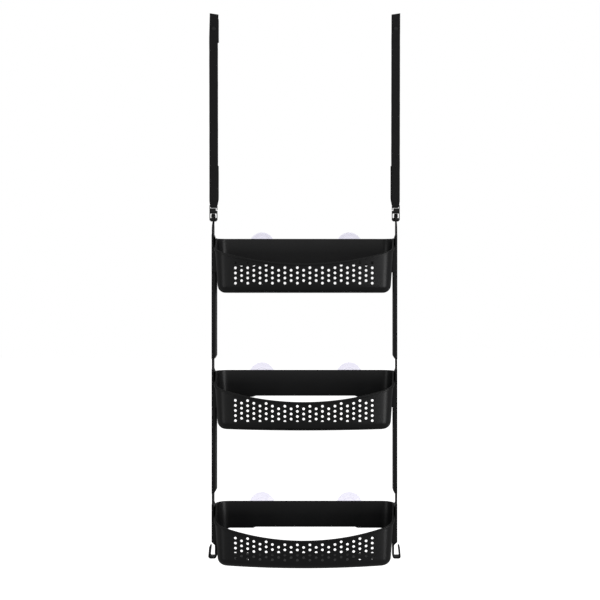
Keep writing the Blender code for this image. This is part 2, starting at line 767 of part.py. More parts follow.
def add_door_hooks(materials):
    steel = materials["steel"]
    front = LEG_FRONT + HOOK_THICKNESS / 2
    back = LEG_BACK + DOOR_GAP + HOOK_THICKNESS / 2
    run = HOOK_THICKNESS / 2
    path = bent_path(
        [(front, -HOOK_FRONT_LEG), (front, run), (back, run), (back, -HOOK_BACK_LEG + 6 * MM),
         (back + 2.5 * MM, -HOOK_BACK_LEG)], HOOK_BEND, 4,
    )
    outline = strip_outline(path, HOOK_THICKNESS)
    for side, sign in (("left", -1), ("right", 1)):
        x = sign * STRAP_X
        body = prism_mesh("door_hook", [outline], x - HOOK_WIDTH / 2, x + HOOK_WIDTH / 2, "X")
        hole = ring_outline((x, -RIVET_DROP), RIVET_DIAMETER + 2 * GAP, 12)
        cutter = prism_mesh("rivet_hole", [hole], LEG_FRONT - 1 * MM, LEG_BACK + 1 * MM, "Y")
        mesh = combine(f"door_hook_{side}", body, [("DIFFERENCE", cutter)], steel)
        add_object(f"door_hook_{side}", mesh, steel)


def turned(bm, profile, center, sides):
    """Turns a profile of (radius, y) round the Y axis through center (x, z). A radius of 0 closes an end."""
    rings = []
    for radius, y in profile:
        if radius == 0:
            rings.append([bm.verts.new((center[0], y, center[1]))])
            continue
        rings.append([
            bm.verts.new((
                center[0] + radius * math.sin(math.tau * i / sides), y, center[1] + radius * math.cos(math.tau * i / sides)
            ))
            for i in range(sides)
        ])
    for near, far in zip(rings, rings[1:]):
        for i in range(sides):
            on = (i + 1) % sides
            quad = [near[i % len(near)], near[on % len(near)], far[on % len(far)], far[i % len(far)]]
            bm.faces.new(list(dict.fromkeys(quad)))


def add_rivets(materials):
    half = STRAP_THICKNESS / 2
    shank, head = RIVET_DIAMETER / 2, RIVET_HEAD / 2
    profile = [
        (0, -half - GAP - 1.2 * MM), (head * 0.6, -half - GAP - 1.0 * MM), (head, -half - GAP - 0.4 * MM),
        (head, -half - GAP), (shank, -half - GAP), (shank, LEG_BACK + GAP), (head * 0.8, LEG_BACK + GAP),
        (head * 0.8, LEG_BACK + GAP + 0.5 * MM), (0, LEG_BACK + GAP + 0.6 * MM),
    ]
    for side, sign in (("left", -1), ("right", 1)):
        bm = bmesh.new()
        turned(bm, profile, (0, 0), 12)
        mesh = mesh_of(f"strap_rivet_{side}", bm)
        add_object(f"strap_rivet_{side}", mesh, materials["steel"], (sign * STRAP_X, 0, -RIVET_DROP))


# Suction cups

def cup_mesh():
    """A cup about the Y axis: button, neck, boss and a thin bell that opens to +Y, with a pull tab at its rim."""
    start = holder_front()
    neck = start + BUTTON_THICKNESS
    boss = neck + HOLDER_PLATE + 2.2 * GAP + 0.4 * MM
    rim = boss + CUP_DEPTH
    wide = CUP_DIAMETER / 2
    profile = [
        (0, start), (CUP_BUTTON / 2, start), (CUP_BUTTON / 2, neck), (CUP_NECK / 2, neck), (CUP_NECK / 2, boss),
        (CUP_BOSS / 2, boss), (CUP_BOSS / 2, boss + 3.5 * MM), (wide * 0.72, boss + 6.5 * MM),
        (wide, rim - 1.2 * MM), (wide, rim), (wide - CUP_SKIN, rim), (wide * 0.70, boss + 6.5 * MM + CUP_SKIN),
        (0, boss + 3.2 * MM + CUP_SKIN * 1.6),
    ]
    bm = bmesh.new()
    turned(bm, profile, (0, 0), 16)
    body = mesh_of("cup_body", bm)
    half = CUP_TAB_WIDTH / 2
    corners = [(-half, -wide - CUP_TAB_REACH), (half, -wide - CUP_TAB_REACH), (half, -wide + 1.0 * MM), (-half, -wide + 1.0 * MM)]
    tab = prism_mesh("pull_tab", [rounded(corners, [2.5 * MM, 2.5 * MM, 0, 0], 2)], rim - 1.15 * MM, rim - 0.05 * MM, "Y")
    return body, tab


def add_cups(materials):
    body, tab = cup_mesh()
    mesh = combine("suction_cup", body, [("UNION", tab)], materials["vinyl"])
    for index, tier in enumerate(TIERS):
        for side, sign in (("left", -1), ("right", 1)):
            place = (sign * CUP_X, 0, tier_top(index) - CUP_DROP)
            add_object(f"suction_cup_{tier}_{side}", mesh, materials["vinyl"], place)


def main():
    clear_scene()
    materials = make_materials()
    add_door_hooks(materials)
    add_rivets(materials)
    add_straps(materials)
    add_clips(materials)
    add_baskets(materials)
    add_hangers(materials)
    add_connectors(materials)
    add_towel_hooks(materials)
    add_cups(materials)


main()
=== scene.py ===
import math

import bmesh
import bpy
from mathutils import Matrix, Vector, geometry, noise


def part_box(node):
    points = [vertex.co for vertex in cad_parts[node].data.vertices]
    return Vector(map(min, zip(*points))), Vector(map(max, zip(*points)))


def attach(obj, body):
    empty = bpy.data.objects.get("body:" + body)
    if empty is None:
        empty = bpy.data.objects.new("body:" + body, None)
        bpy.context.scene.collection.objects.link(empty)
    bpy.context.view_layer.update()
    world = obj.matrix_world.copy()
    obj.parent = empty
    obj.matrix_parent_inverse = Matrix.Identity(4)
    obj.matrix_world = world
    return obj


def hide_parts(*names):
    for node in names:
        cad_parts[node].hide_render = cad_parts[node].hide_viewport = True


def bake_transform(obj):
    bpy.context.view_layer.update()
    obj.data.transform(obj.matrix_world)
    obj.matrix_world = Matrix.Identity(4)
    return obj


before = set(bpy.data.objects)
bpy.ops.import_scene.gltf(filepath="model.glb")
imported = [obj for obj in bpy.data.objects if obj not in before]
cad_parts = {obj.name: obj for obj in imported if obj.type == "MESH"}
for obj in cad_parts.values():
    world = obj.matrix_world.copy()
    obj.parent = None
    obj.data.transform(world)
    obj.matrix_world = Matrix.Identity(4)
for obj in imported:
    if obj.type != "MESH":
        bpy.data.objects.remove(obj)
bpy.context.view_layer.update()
mm = 0.001
sides = {"left": -1, "right": 1}
tiers = ("top", "middle", "bottom")


# shader nodes

class Wire:  # a socket that takes part in plain arithmetic
    def __init__(self, paint, socket):
        self.paint, self.socket = paint, socket

    def calc(self, operation, *values):
        return self.paint.node("ShaderNodeMath", {"operation": operation}, dict(enumerate(values)))

    def __add__(self, other):
        return self.calc("ADD", self, other)

    def __radd__(self, other):
        return self.calc("ADD", other, self)

    def __sub__(self, other):
        return self.calc("SUBTRACT", self, other)

    def __rsub__(self, other):
        return self.calc("SUBTRACT", other, self)

    def __mul__(self, other):
        return self.calc("MULTIPLY", self, other)

    def __rmul__(self, other):
        return self.calc("MULTIPLY", other, self)

    def __truediv__(self, other):
        return self.calc("DIVIDE", self, other)

    def __rtruediv__(self, other):
        return self.calc("DIVIDE", other, self)

    def __pow__(self, other):
        return self.calc("POWER", self, other)

    def __mod__(self, other):
        return self.calc("FLOORED_MODULO", self, other)

    def sibling(self, name):  # another output of the same node
        return Wire(self.paint, self.socket.node.outputs[name])


class Paint:  # one material and its nodes
    def __init__(self, name):
        self.material = bpy.data.materials.new(name)
        self.material.use_nodes = True
        self.tree = self.material.node_tree
        self.shader = self.tree.nodes["Principled BSDF"]

    def feed(self, socket, value):
        if isinstance(value, Wire):
            self.tree.links.new(value.socket, socket)
        elif hasattr(socket.default_value, "__len__") and len(value) == 3 and len(socket.default_value) == 4:
            socket.default_value = (*value, 1)
        else:
            socket.default_value = value

    def node(self, kind, settings=None, sockets=None, output=0):
        made = self.tree.nodes.new(kind)
        for key, value in (settings or {}).items():
            if key == "stops":
                ramp = made.color_ramp.elements
                while len(ramp) < len(value):
                    ramp.new(0.5)
                for stop, (place, grey) in zip(ramp, value):
                    stop.position, stop.color = place, (grey, grey, grey, 1)
            else:
                setattr(made, key, value)
        for key, value in (sockets or {}).items():
            self.feed(made.inputs[key], value)
        return Wire(self, made.outputs[output])

    def blend(self, share, dark, light):  # a colour between two
        return self.node("ShaderNodeMix", {"data_type": "RGBA"}, {0: share, 6: dark, 7: light}, 2)

    def place(self):
        return self.node("ShaderNodeTexCoord", output="Object")

    def cloud(self, where, scale, detail=3.0, roughness=0.55):
        return self.node(
            "ShaderNodeTexNoise", {}, {"Vector": where, "Scale": scale, "Detail": detail, "Roughness": roughness}
        )

    def relief(self, height, depth, under=None):
        sockets = {"Height": height, "Distance": depth, "Strength": 1.0}
        if under:
            sockets["Normal"] = under
        return self.node("ShaderNodeBump", {}, sockets)

    def finish(self, **sockets):
        for key, value in sockets.items():
            self.feed(self.shader.inputs[plainNames[key]], value)
        return self.material


plainNames = {
    "color": "Base Color", "roughness": "Roughness", "normal": "Normal", "specular": "Specular IOR Level",
    "transmission": "Transmission Weight", "sheen": "Sheen Weight", "sheenRoughness": "Sheen Roughness",
    "metallic": "Metallic", "ior": "IOR", "coat": "Coat Weight", "coatRoughness": "Coat Roughness",
    "subsurface": "Subsurface Weight", "subsurfaceRadius": "Subsurface Radius", "subsurfaceScale": "Subsurface Scale",
}

plasticLook = {
    "dark": (0.0090, 0.0090, 0.0098), "light": (0.0125, 0.0125, 0.0135), "grain": 1500, "grainDepth": 0.02 * mm,
    "flow": 38, "roughness": 0.37, "roughnessSpread": 0.12, "specular": 0.42,
}


def mouldedPlastic(name="moulded_plastic", look=plasticLook):
    # fine spark-eroded grain over faint flow marks, a little shinier where hands rub it
    paint = Paint(name)
    where = paint.place()
    grain = paint.cloud(where, look["grain"], 2.0, 0.6)
    pores = paint.node(
        "ShaderNodeTexVoronoi", {"feature": "SMOOTH_F1"}, {"Vector": where, "Scale": look["grain"] * 0.8}
    )
    flow = paint.cloud(where, look["flow"], 4.0)
    worn = paint.node("ShaderNodeValToRGB", {"stops": [(0.42, 0), (0.62, 1)]}, {0: paint.cloud(where, 11, 5.0)})
    tone = paint.blend(flow, look["dark"], look["light"])
    rough = look["roughness"] + look["roughnessSpread"] * (flow - 0.5) + 0.05 * (grain - 0.5) - 0.03 * worn
    skin = paint.relief(grain * 0.6 + pores * 0.4, look["grainDepth"])
    skin = paint.relief(flow, 0.12 * mm, skin)
    return paint.finish(color=tone, roughness=rough, normal=skin, specular=look["specular"])


weaveLook = {
    "dark": (0.0085, 0.0085, 0.0090), "light": (0.0235, 0.0230, 0.0242), "cord": 1.05 * mm, "pick": 1.25 * mm,
    "depth": 0.16 * mm, "fibre": 5200, "roughness": 0.78,
}


def wovenWebbing(name="woven_webbing", look=weaveLook):
    # UVs are in metres: u runs across the strap and v along it
    paint = Paint(name)
    across = paint.node("ShaderNodeSeparateXYZ", {}, {0: paint.node("ShaderNodeTexCoord", output="UV")})
    along = across.sibling("Y")
    cord = across / look["cord"]
    twill = (cord % 2.0).calc("FLOOR", cord % 2.0)
    ridge = (cord * math.pi).calc("SINE", cord * math.pi).calc(
        "ABSOLUTE", (cord * math.pi).calc("SINE", cord * math.pi)
    )
    slope = along / look["pick"] + 0.5 * twill + 0.35 * (cord % 1.0)
    pick = (slope * math.tau).calc("SINE", slope * math.tau) * 0.5 + 0.5
    fibre = paint.cloud(paint.place(), look["fibre"], 2.0, 0.7)
    height = ridge ** 0.6 * (0.55 + 0.45 * pick) + 0.12 * fibre
    wear = paint.cloud(paint.place(), 90, 3.0)
    # painted shade: the weave's hollows are darker and its ridges lighter, following the bump height, mixed with
    # random blotches of wear
    tone = paint.blend(height * 0.7 + 0.3 * wear, look["dark"], look["light"])
    return paint.finish(
        color=tone, roughness=look["roughness"] + 0.1 * (fibre - 0.5), normal=paint.relief(height, look["depth"]),
        specular=0.3, sheen=0.03, sheenRoughness=0.5,
    )


def powderCoat(name="powder_coat"):
    # orange-peel texture of baked powder over flat steel
    paint = Paint(name)
    where = paint.place()
    peel = paint.cloud(where, 620, 2.0, 0.45)
    speck = paint.node("ShaderNodeTexVoronoi", {}, {"Vector": where, "Scale": 1400})
    tone = paint.blend(peel, (0.010, 0.010, 0.011), (0.016, 0.016, 0.017))
    return paint.finish(
        color=tone, roughness=0.40 + 0.10 * (peel - 0.5), specular=0.45,
        normal=paint.relief(peel * 0.8 + speck * 0.2, 0.05 * mm),
    )


vinylLook = {"dark": (0.735, 0.718, 0.825), "light": (0.79, 0.773, 0.865), "roughness": 0.24}


def softVinyl(name="soft_vinyl", look=vinylLook):
    # milky vinyl with a lavender cast, slightly tacky, with faint swirls from moulding
    paint = Paint(name)
    where = paint.place()
    swirl = paint.cloud(where, 120, 4.0)
    dust = paint.cloud(where, 2400, 1.0)
    tone = paint.blend(swirl, look["dark"], look["light"])
    return paint.finish(
        color=tone, roughness=look["roughness"] + 0.12 * (swirl - 0.5) + 0.05 * (dust - 0.5), transmission=1.0,
        ior=1.42,
        specular=0.5, normal=paint.relief(swirl, 0.08 * mm),
    )


def sewingThread(name="sewing_thread"):
    # two-ply bonded thread: fine slanting strands
    paint = Paint(name)
    where = paint.node("ShaderNodeSeparateXYZ", {}, {0: paint.place()})
    lean = where * 5200 + where.sibling("Z") * 7400
    ply = lean.calc("SINE", lean) * 0.5 + 0.5
    # painted shade: the grooves between the slanting strands are darker and their crests lighter, following the bump
    tone = paint.blend(ply, (0.014, 0.014, 0.015), (0.036, 0.035, 0.037))
    return paint.finish(color=tone, roughness=0.55 + 0.1 * ply, normal=paint.relief(ply, 0.05 * mm), specular=0.4)


# outlines

def arcPoints(center, radius, start, end, steps):
    points = []
    for k in range(steps + 1):
        a = math.radians(start + (end - start) * k / steps)
        points.append((center[0] + radius * math.cos(a), center[1] + radius * math.sin(a)))
    return points


def roundCorners(corners, radii, steps=5):
    if not isinstance(radii, (list, tuple)):
        radii = [radii] * len(corners)
    points = []
    for k, (corner, radius) in enumerate(zip(corners, radii)):
        here = Vector(corner)
        back = (Vector(corners[k - 1]) - here).normalized()
        on = (Vector(corners[(k + 1) % len(corners)]) - here).normalized()
        half = back.angle(on) / 2
        if radius <= 0 or half > math.radians(88):
            points.append(tuple(corner))
            continue
        center = here + (back + on).normalized() * (radius / math.sin(half))
        start = here + back * (radius / math.tan(half)) - center
        end = here + on * (radius / math.tan(half)) - center
        sweep = math.atan2(start.x * end.y - start.y * end.x, start.dot(end))
        for j in range(steps + 1):
            a = math.atan2(start.y, start.x) + sweep * j / steps
            points.append((center.x + radius * math.cos(a), center.y + radius * math.sin(a)))
    return points


def box2(aLow, aHigh, bLow, bHigh):
    return [(aLow, bLow), (aHigh, bLow), (aHigh, bHigh), (aLow, bHigh)]


def flipped(loop, sign):  # a right-hand outline for either side, always the same way round
    return loop if sign > 0 else [(-a, b) for a, b in loop][::-1]


def leftOf(loop, distance):  # the loop moved to its left, corners mitred
    moved = []
    for k, point in enumerate(loop):
        here = Vector(point)
        into = (here - Vector(loop[k - 1])).normalized()
        out = (Vector(loop[(k + 1) % len(loop)]) - here).normalized()
        first = Vector((-into.y, into.x))
        side = (first + Vector((-out.y, out.x))).normalized()
        moved.append(tuple(here + side * (distance / max(0.4, side.dot(first)))))
    return moved


def wound(loop, left):  # counter-clockwise where left is true
    area = sum(a[0] * b[1] - b[0] * a[1] for a, b in zip(loop, loop[1:] + loop[:1]))
    return list(loop) if (area > 0) == left else list(loop)[::-1]


# meshes

def skin(bm, rings, closed=False):  # quads between rings of equal length
    pairs = list(zip(rings, rings[1:])) + ([(rings[-1], rings[0])] if closed else [])
    for near, far in pairs:
        for k in range(len(near)):
            j = (k + 1) % len(near)
            bm.faces.new([near[k], near[j], far[j], far[k]])


def cap(bm, loops, verts):
    if len(loops) == 1:
        bm.faces.new(verts)
        return
    for triangle in geometry.tessellate_polygon([[Vector((a, b, 0)) for a, b in loop] for loop in loops]):
        bm.faces.new([verts[k] for k in triangle])


def slab(bm, loops, low, high, axis, edge=0.35 * mm, steps=3):
    # a flat moulding with eased edges: the first loop is its outside, the rest are holes
    def place(a, b, along):
        return {"X": (along, a, b), "Y": (a, along, b), "Z": (a, b, along)}[axis]

    loops = [wound(loop, k == 0) for k, loop in enumerate(loops)]
    ease = [(edge * (1 - math.cos(math.pi / 2 * k / steps)), edge * (1 - math.sin(math.pi / 2 * k / steps)))
            for k in range(steps + 1)]
    levels = [(low + up, inward) for up, inward in ease] + [(high - up, inward) for up, inward in ease[::-1]]
    ends = []
    for along, inward in levels:
        moved = [leftOf(loop, inward) for loop in loops]
        ends.append((moved, [[bm.verts.new(place(a, b, along)) for a, b in loop] for loop in moved]))
    for k in range(len(loops)):
        skin(bm, [rings[k] for moved, rings in ends])
    for moved, rings in (ends[0], ends[-1]):
        cap(bm, moved, [v for ring in rings for v in ring])


def turned(bm, profile, segments, center=(0, 0, 0)):
    # (radius, y) pairs about the Y axis; a radius of 0 closes an end
    rings = []
    for radius, y in profile:
        if radius == 0:
            rings.append([bm.verts.new((center[0], center[1] + y, center[2]))])
            continue
        rings.append([bm.verts.new((
            center[0] + radius * math.sin(math.tau * k / segments), center[1] + y,
            center[2] + radius * math.cos(math.tau * k / segments),
        )) for k in range(segments)])
    for near, far in zip(rings, rings[1:]):
        for k in range(segments):
            j = (k + 1) % segments
            quad = [near[k % len(near)], near[j % len(near)], far[j % len(far)], far[k % len(far)]]
            bm.faces.new(list(dict.fromkeys(quad)))


def meshFrom(bm, name="blank"):
    bmesh.ops.recalc_face_normals(bm, faces=bm.faces)
    mesh = bpy.data.meshes.new(name)
    bm.to_mesh(mesh)
    bm.free()
    return mesh


def slabMesh(loops, low, high, axis, edge=0.35 * mm, steps=3):
    bm = bmesh.new()
    slab(bm, loops, *sorted((low, high)), axis, edge, steps)
    return meshFrom(bm)


def carved(mesh, steps):  # joins and cuts in order, with the modifiers applied
    base = bpy.data.objects.new("blank", mesh)
    bpy.context.collection.objects.link(base)
    tools = []
    for operation, tool in steps:
        held = bpy.data.objects.new("tool", tool)
        bpy.context.collection.objects.link(held)
        modifier = base.modifiers.new(operation.lower(), "BOOLEAN")
        modifier.operation, modifier.solver, modifier.object = operation, "EXACT", held
        tools.append(held)
    bpy.context.view_layer.update()
    result = bpy.data.meshes.new_from_object(base.evaluated_get(bpy.context.evaluated_depsgraph_get()))
    for held in [base, *tools]:
        bpy.data.objects.remove(held, do_unlink=True)
    return result


def addPiece(name, mesh, material, body, nodes=(), location=(0, 0, 0), sharp=32):
    mesh.name = name
    piece = bpy.data.objects.new(name, mesh)
    bpy.context.collection.objects.link(piece)
    piece.location = location
    if not mesh.materials:
        mesh.materials.append(material)
    mesh.polygons.foreach_set("use_smooth", [True] * len(mesh.polygons))
    mesh.set_sharp_from_angle(angle=math.radians(sharp))
    if body:
        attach(piece, body)
    if nodes:
        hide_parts(*nodes)
    return piece


plastic = mouldedPlastic()
webbingCloth = wovenWebbing()
coatedSteel = powderCoat()
vinyl = softVinyl()
thread = sewingThread()
print("finishes ready")


# baskets

basket = {
    "halfWidth": 135.0 * mm, "depth": 112.8 * mm, "height": 83.3 * mm, "splay": 0.034, "bow": 386.0 * mm,
    "frontCorner": 24.0 * mm, "backCorner": 19.0 * mm, "draft": 0.07, "wall": 2.0 * mm, "floor": 2.2 * mm,
    "fillet": 12.0 * mm, "lipOut": 1.5 * mm, "lipHeight": 3.0 * mm, "bandShare": 0.48, "dropShare": 0.4826,
    "rimReach": 0.823,
    "windowMargin": 13.0 * mm, "windowArch": 1.6 * mm, "windowSill": 1.2 * mm, "holeWidth": 3.9 * mm,
    "holeStep": 7.5 * mm, "holeFoot": 14.3 * mm,
    "holeEdge": 5.5 * mm, "holeColumns": 11, "holeEase": 0.22 * mm, "drainWidth": 7.0 * mm, "drainLength": 27.0 * mm,
}
basket["back"] = 0.4043 * basket["depth"]
basket["front"] = basket["back"] - basket["depth"]
basket["holePitch"] = (basket["halfWidth"] - basket["frontCorner"]) / 12.13
tierTop = {tier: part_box(f"basket_{tier}")[0][2] + basket["height"] for tier in tiers}


def basketPlan(b):
    # stations (x, y, outward angle from the front, run) round the right half
    splay = math.atan(b["splay"])
    reach = b["halfWidth"] * math.cos(splay)
    bowY = b["front"] + b["bow"]
    spare = b["bow"] - b["frontCorner"]
    turn = math.asin((reach - b["frontCorner"] + bowY * math.sin(splay)) / spare) - splay
    corner = (spare * math.sin(turn), bowY - spare * math.cos(turn))
    backY = b["back"] - b["backCorner"]
    back = ((reach - b["backCorner"] + backY * math.sin(splay)) / math.cos(splay), backY)
    side = math.pi / 2 - splay

    def sweep(center, radius, start, end, steps):
        spots = []
        for k in range(steps + 1):
            a = start + (end - start) * k / steps
            spots.append((center[0] + radius * math.sin(a), center[1] - radius * math.cos(a), a))
        return spots

    stations = sweep((0, bowY), b["bow"], 0, turn, 24)
    stations += sweep(corner, b["frontCorner"], turn, side, 12)[1:]
    turnBack = sweep(back, b["backCorner"], side, math.pi, 12)
    last = stations[-1]
    for k in range(1, 9):
        share = k / 9
        stations.append(
            (last[0] + (turnBack[0][0] - last[0]) * share, last[1] + (turnBack[0][1] - last[1]) * share, side)
        )
    stations += turnBack
    edge = turnBack[-1][0]
    stations += [(edge * (1 - k / 8), b["back"], math.pi) for k in range(1, 9)]
    runs = [0.0]
    for before, after in zip(stations, stations[1:]):
        runs.append(runs[-1] + math.dist(before[:2], after[:2]))
    return [(*station, run) for station, run in zip(stations, runs)], runs[-9]


def rimHeight(b, run, backRun):
    share = run / (b["rimReach"] * backRun)
    fall = b["dropShare"] * b["height"] * (1 - share * share)
    ease = 2.0 * mm
    return -(fall + math.sqrt(fall * fall + ease * ease)) / 2 + ease / 2 * math.exp(-abs(fall) / ease)


def wallInset(b, depth, angle):
    rear = max(0.0, -math.cos(angle))
    return b["draft"] * depth * (1 - rear * rear)


def basketSection(b, station, backRun):
    # from the floor's underside up the outside, over the rolled lip and down the inside
    x, y, angle, run = station
    rim = rimHeight(b, run, backRun)
    foot = -b["height"]
    wall, fillet = b["wall"], b["fillet"]
    base = wallInset(b, b["height"] - fillet, angle)
    spots = [(base + fillet * (1 - math.sin(a)), foot + fillet * (1 - math.cos(a)))
             for a in (math.radians(d) for d in range(0, 91, 10))]
    lipFoot = rim - b["lipHeight"]
    for share in (0.25, 0.5, 0.75, 0.96):
        z = foot + fillet + (lipFoot - foot - fillet) * share
        spots.append((wallInset(b, -z, angle), z))
    under, over = wallInset(b, -lipFoot, angle), wallInset(b, -rim, angle)
    out, round1, round2 = b["lipOut"], 1.25 * mm, 0.7 * mm
    spots += [
        (under, lipFoot), (under - out + 0.45 * mm, lipFoot - 0.05 * mm),
        (under - out + 0.12 * mm, lipFoot + 0.12 * mm)
    ]
    spots += [(under - out, lipFoot + 0.5 * mm)]
    for d in range(180, 89, -15):
        a = math.radians(d)
        spots.append((over - out + round1 + round1 * math.cos(a), rim - round1 + round1 * math.sin(a)))
    for d in range(90, -1, -30):
        a = math.radians(d)
        spots.append((over + wall - round2 + round2 * math.cos(a), rim - round2 + round2 * math.sin(a)))
    inner = fillet - wall
    top, low = rim - round2, foot + b["floor"] + inner
    for share in (0.3, 0.65, 1.0):
        z = top + (low - top) * share
        spots.append((wallInset(b, -z, angle) + wall, z))
    for d in range(75, -1, -15):
        a = math.radians(d)
        spots.append((base + wall + inner * (1 - math.sin(a)), foot + b["floor"] + inner * (1 - math.cos(a))))
    return [(x - math.sin(angle) * inward, y + math.cos(angle) * inward, z) for inward, z in spots]


def basketShell(b):
    half, backRun = basketPlan(b)
    sections = [basketSection(b, station, backRun) for station in half]
    sections += [[(-x, y, z) for x, y, z in section] for section in sections[-2:0:-1]]
    bm = bmesh.new()
    columns = [[bm.verts.new(point) for point in section] for section in sections]
    for k, column in enumerate(columns):
        on = columns[(k + 1) % len(columns)]
        for j in range(len(column) - 1):
            bm.faces.new([column[j], on[j], on[j + 1], column[j + 1]])
    bm.faces.new([column[0] for column in columns])
    bm.faces.new([column[-1] for column in columns])
    return meshFrom(bm)


def holeCutters(b, odd):
    # each cutter follows the wall's lean, so its eased mouth is even all round
    backRun = basketPlan(b)[1]
    radius, ease, sidesOfHole = b["holeWidth"] / 2, b["holeEase"], 22
    bm = bmesh.new()
    for column in range(-b["holeColumns"] + odd, b["holeColumns"] + 1, 2):
        x = column * b["holePitch"]
        rim = rimHeight(b, b["bow"] * math.asin(abs(x) / b["bow"]), backRun)
        height = b["holeFoot"] + (0.5 * b["holeStep"] if (b["holeColumns"] - column) % 2 else 0)
        while height <= b["height"] + rim - b["holeEdge"]:
            z = height - b["height"]
            arm = math.sqrt((b["bow"] - b["draft"] * -z) ** 2 - x * x)
            face = b["front"] + b["bow"] - arm
            lean = x / arm
            inside = face + b["wall"] / math.cos(math.atan(lean))
            rings = []
            for r, y in (
                (radius + ease + mm, face - mm), (radius, face + ease), (radius, inside - ease),
                (radius + ease + mm, inside + mm),
            ):
                ring = []
                for k in range(sidesOfHole):
                    a = math.tau * k / sidesOfHole
                    dx, dz = r * math.cos(a), r * math.sin(a)
                    ring.append(bm.verts.new((x + dx, y + dx * lean - dz * b["draft"], z + dz)))
                rings.append(ring)
            skin(bm, rings)
            bm.faces.new(rings[0])
            bm.faces.new(rings[-1])
            height += b["holeStep"]
    return meshFrom(bm)


def drainCutters(b):
    bm = bmesh.new()
    last = b["holeColumns"] * b["holePitch"]
    for x in (last, last - 2 * b["holePitch"]):
        for sign in (-1, 1):
            corners = box2(
                sign * x - b["drainWidth"] / 2, sign * x + b["drainWidth"] / 2, -b["drainLength"] / 2,
                b["drainLength"] / 2
            )
            outline = roundCorners(corners, b["drainWidth"] * 0.495, 8)
            slab(bm, [outline], -b["height"] - 2 * mm, -b["height"] + b["floor"] + 4 * mm, "Z", 0.01 * mm, 1)
    return meshFrom(bm)


def windowCutter(b):
    top = -b["bandShare"] * b["height"]
    foot = -b["height"] + b["floor"] + b["windowSill"]
    reach = b["halfWidth"] - b["windowMargin"]
    shoulder = reach * 0.66
    low = top - b["windowArch"]
    corners = [(-reach, foot), (reach, foot), (reach, low), (shoulder, low), (shoulder - 4 * mm, top)]
    corners += [(-shoulder + 4 * mm, top), (-shoulder, low), (-reach, low)]
    outline = roundCorners(corners, [3 * mm, 3 * mm, 6 * mm, 2 * mm, 2 * mm, 2 * mm, 2 * mm, 6 * mm], 6)
    return slabMesh([outline], b["back"] - 22 * mm, b["back"] + 10 * mm, "Y", 0.01 * mm, 1)


# keyhole pockets on the back bands

pocket = {
    "x": basket["halfWidth"] / 2 + 0.5 * mm, "drop": 9.2 * mm, "gap": 0.3 * mm, "button": 11.2 * mm, "neck": 5.8 * mm,
    "buttonDepth": 2.6 * mm, "wall": 2.0 * mm, "plate": 1.8 * mm,
}


def pocketParts(p, b):
    inside = p["button"] / 2 + 1.3 * p["gap"]
    slot = p["neck"] / 2 + 1.3 * p["gap"]
    deep = b["back"] + 2 * p["gap"] + p["buttonDepth"]
    low, high = -p["drop"] - inside - p["wall"], -p["drop"] + inside - 0.5 * mm
    reach = inside + p["wall"]
    parts = []
    layers = (
        (inside, b["back"] - 0.6 * mm, deep + 0.5 * mm, 0.2 * mm, 0.12 * mm),
        (slot, deep, deep + p["plate"], 0.4 * mm, 0)
    )
    for width, near, far, edge, less in layers:
        bm = bmesh.new()
        for sign in (-1, 1):
            x = sign * p["x"]
            corners = [
                (x - reach + less, high - less), (x - reach + less, low + less), (x + reach - less, low + less)
            ]
            corners.append((x + reach - less, high - less))
            outline = roundCorners(corners, [0, 2.4 * mm, 2.4 * mm, 0], 5)
            outline += [(x + width, high - less)] + arcPoints(
                (x, -p["drop"]), width, 0, -180, 16
            ) + [(x - width, high - less)]
            slab(bm, [outline], near, far, "Y", edge, 2)
        parts.append(("UNION", meshFrom(bm)))
    return parts


basketMesh = carved(basketShell(basket), pocketParts(pocket, basket) + [
    ("DIFFERENCE", windowCutter(basket)), ("DIFFERENCE", drainCutters(basket)),
    ("DIFFERENCE", holeCutters(basket, 0)), ("DIFFERENCE", holeCutters(basket, 1)),
])
for tier in tiers:
    addPiece(
        f"basket_shell_{tier}", basketMesh, plastic, f"{tier}_tier", [f"basket_{tier}"],
        (0, 0, tierTop[tier]), 34,
    )
print("baskets:", len(basketMesh.polygons), "faces")


# hangers: a bracket beside each basket with a tab that rises from it

rail = {
    "outer": basket["halfWidth"] + 4.4 * mm, "tab": 2.6 * mm, "tabWidth": 18.0 * mm, "headHeight": 4.0 * mm,
    "bracketDrop": 52.5 * mm, "shoulder": 4.5 * mm, "shoulderReach": 1.6 * mm, "bar": 6.4 * mm,
    "mouthRise": 20.0 * mm,
    "mouthTaper": 4.8 * mm,
    "tongue": 14.0 * mm, "gap": 0.3 * mm, "seam": 0.06 * mm,
}
rail["headWidth"] = rail["tabWidth"] + 4 * mm
rail["width"] = rail["headWidth"] + 4 * mm
rail["ledge"] = rail["mouthRise"] + rail["mouthTaper"] + 16.2 * mm
rail["lift"] = rail["mouthRise"] - rail["shoulder"] - 1 * mm
pitch = tierTop["top"] - tierTop["middle"]

clip = {
    "x": rail["outer"] - 1.8 * mm, "width": 12.0 * mm, "thickness": 3.0 * mm, "cheek": 1.2 * mm, "topBar": 3.2 * mm,
    "slot": 1.95 * mm, "web": 7.95 * mm, "window": 6.7 * mm, "lowBar": 5.2 * mm, "gate": 1.1 * mm, "bevel": 0.3 * mm,
    "crook": 5.85 * mm, "flange": 5.4 * mm, "notch": 5.6 * mm,
}
clip["top"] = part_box("strap_clip_left")[1][2]
clip["foot"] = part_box("strap_clip_left")[0][2]
clip["slotTop"] = clip["top"] - clip["topBar"]
clip["slotFoot"] = clip["slotTop"] - clip["slot"]
clip["windowTop"] = clip["slotFoot"] - clip["web"]
clip["windowFoot"] = clip["windowTop"] - clip["window"]
clip["swing"] = clip["windowFoot"] - clip["lowBar"] / 2


def wallHalf(b, y, depth):
    return b["halfWidth"] + b["splay"] * y - b["draft"] * depth


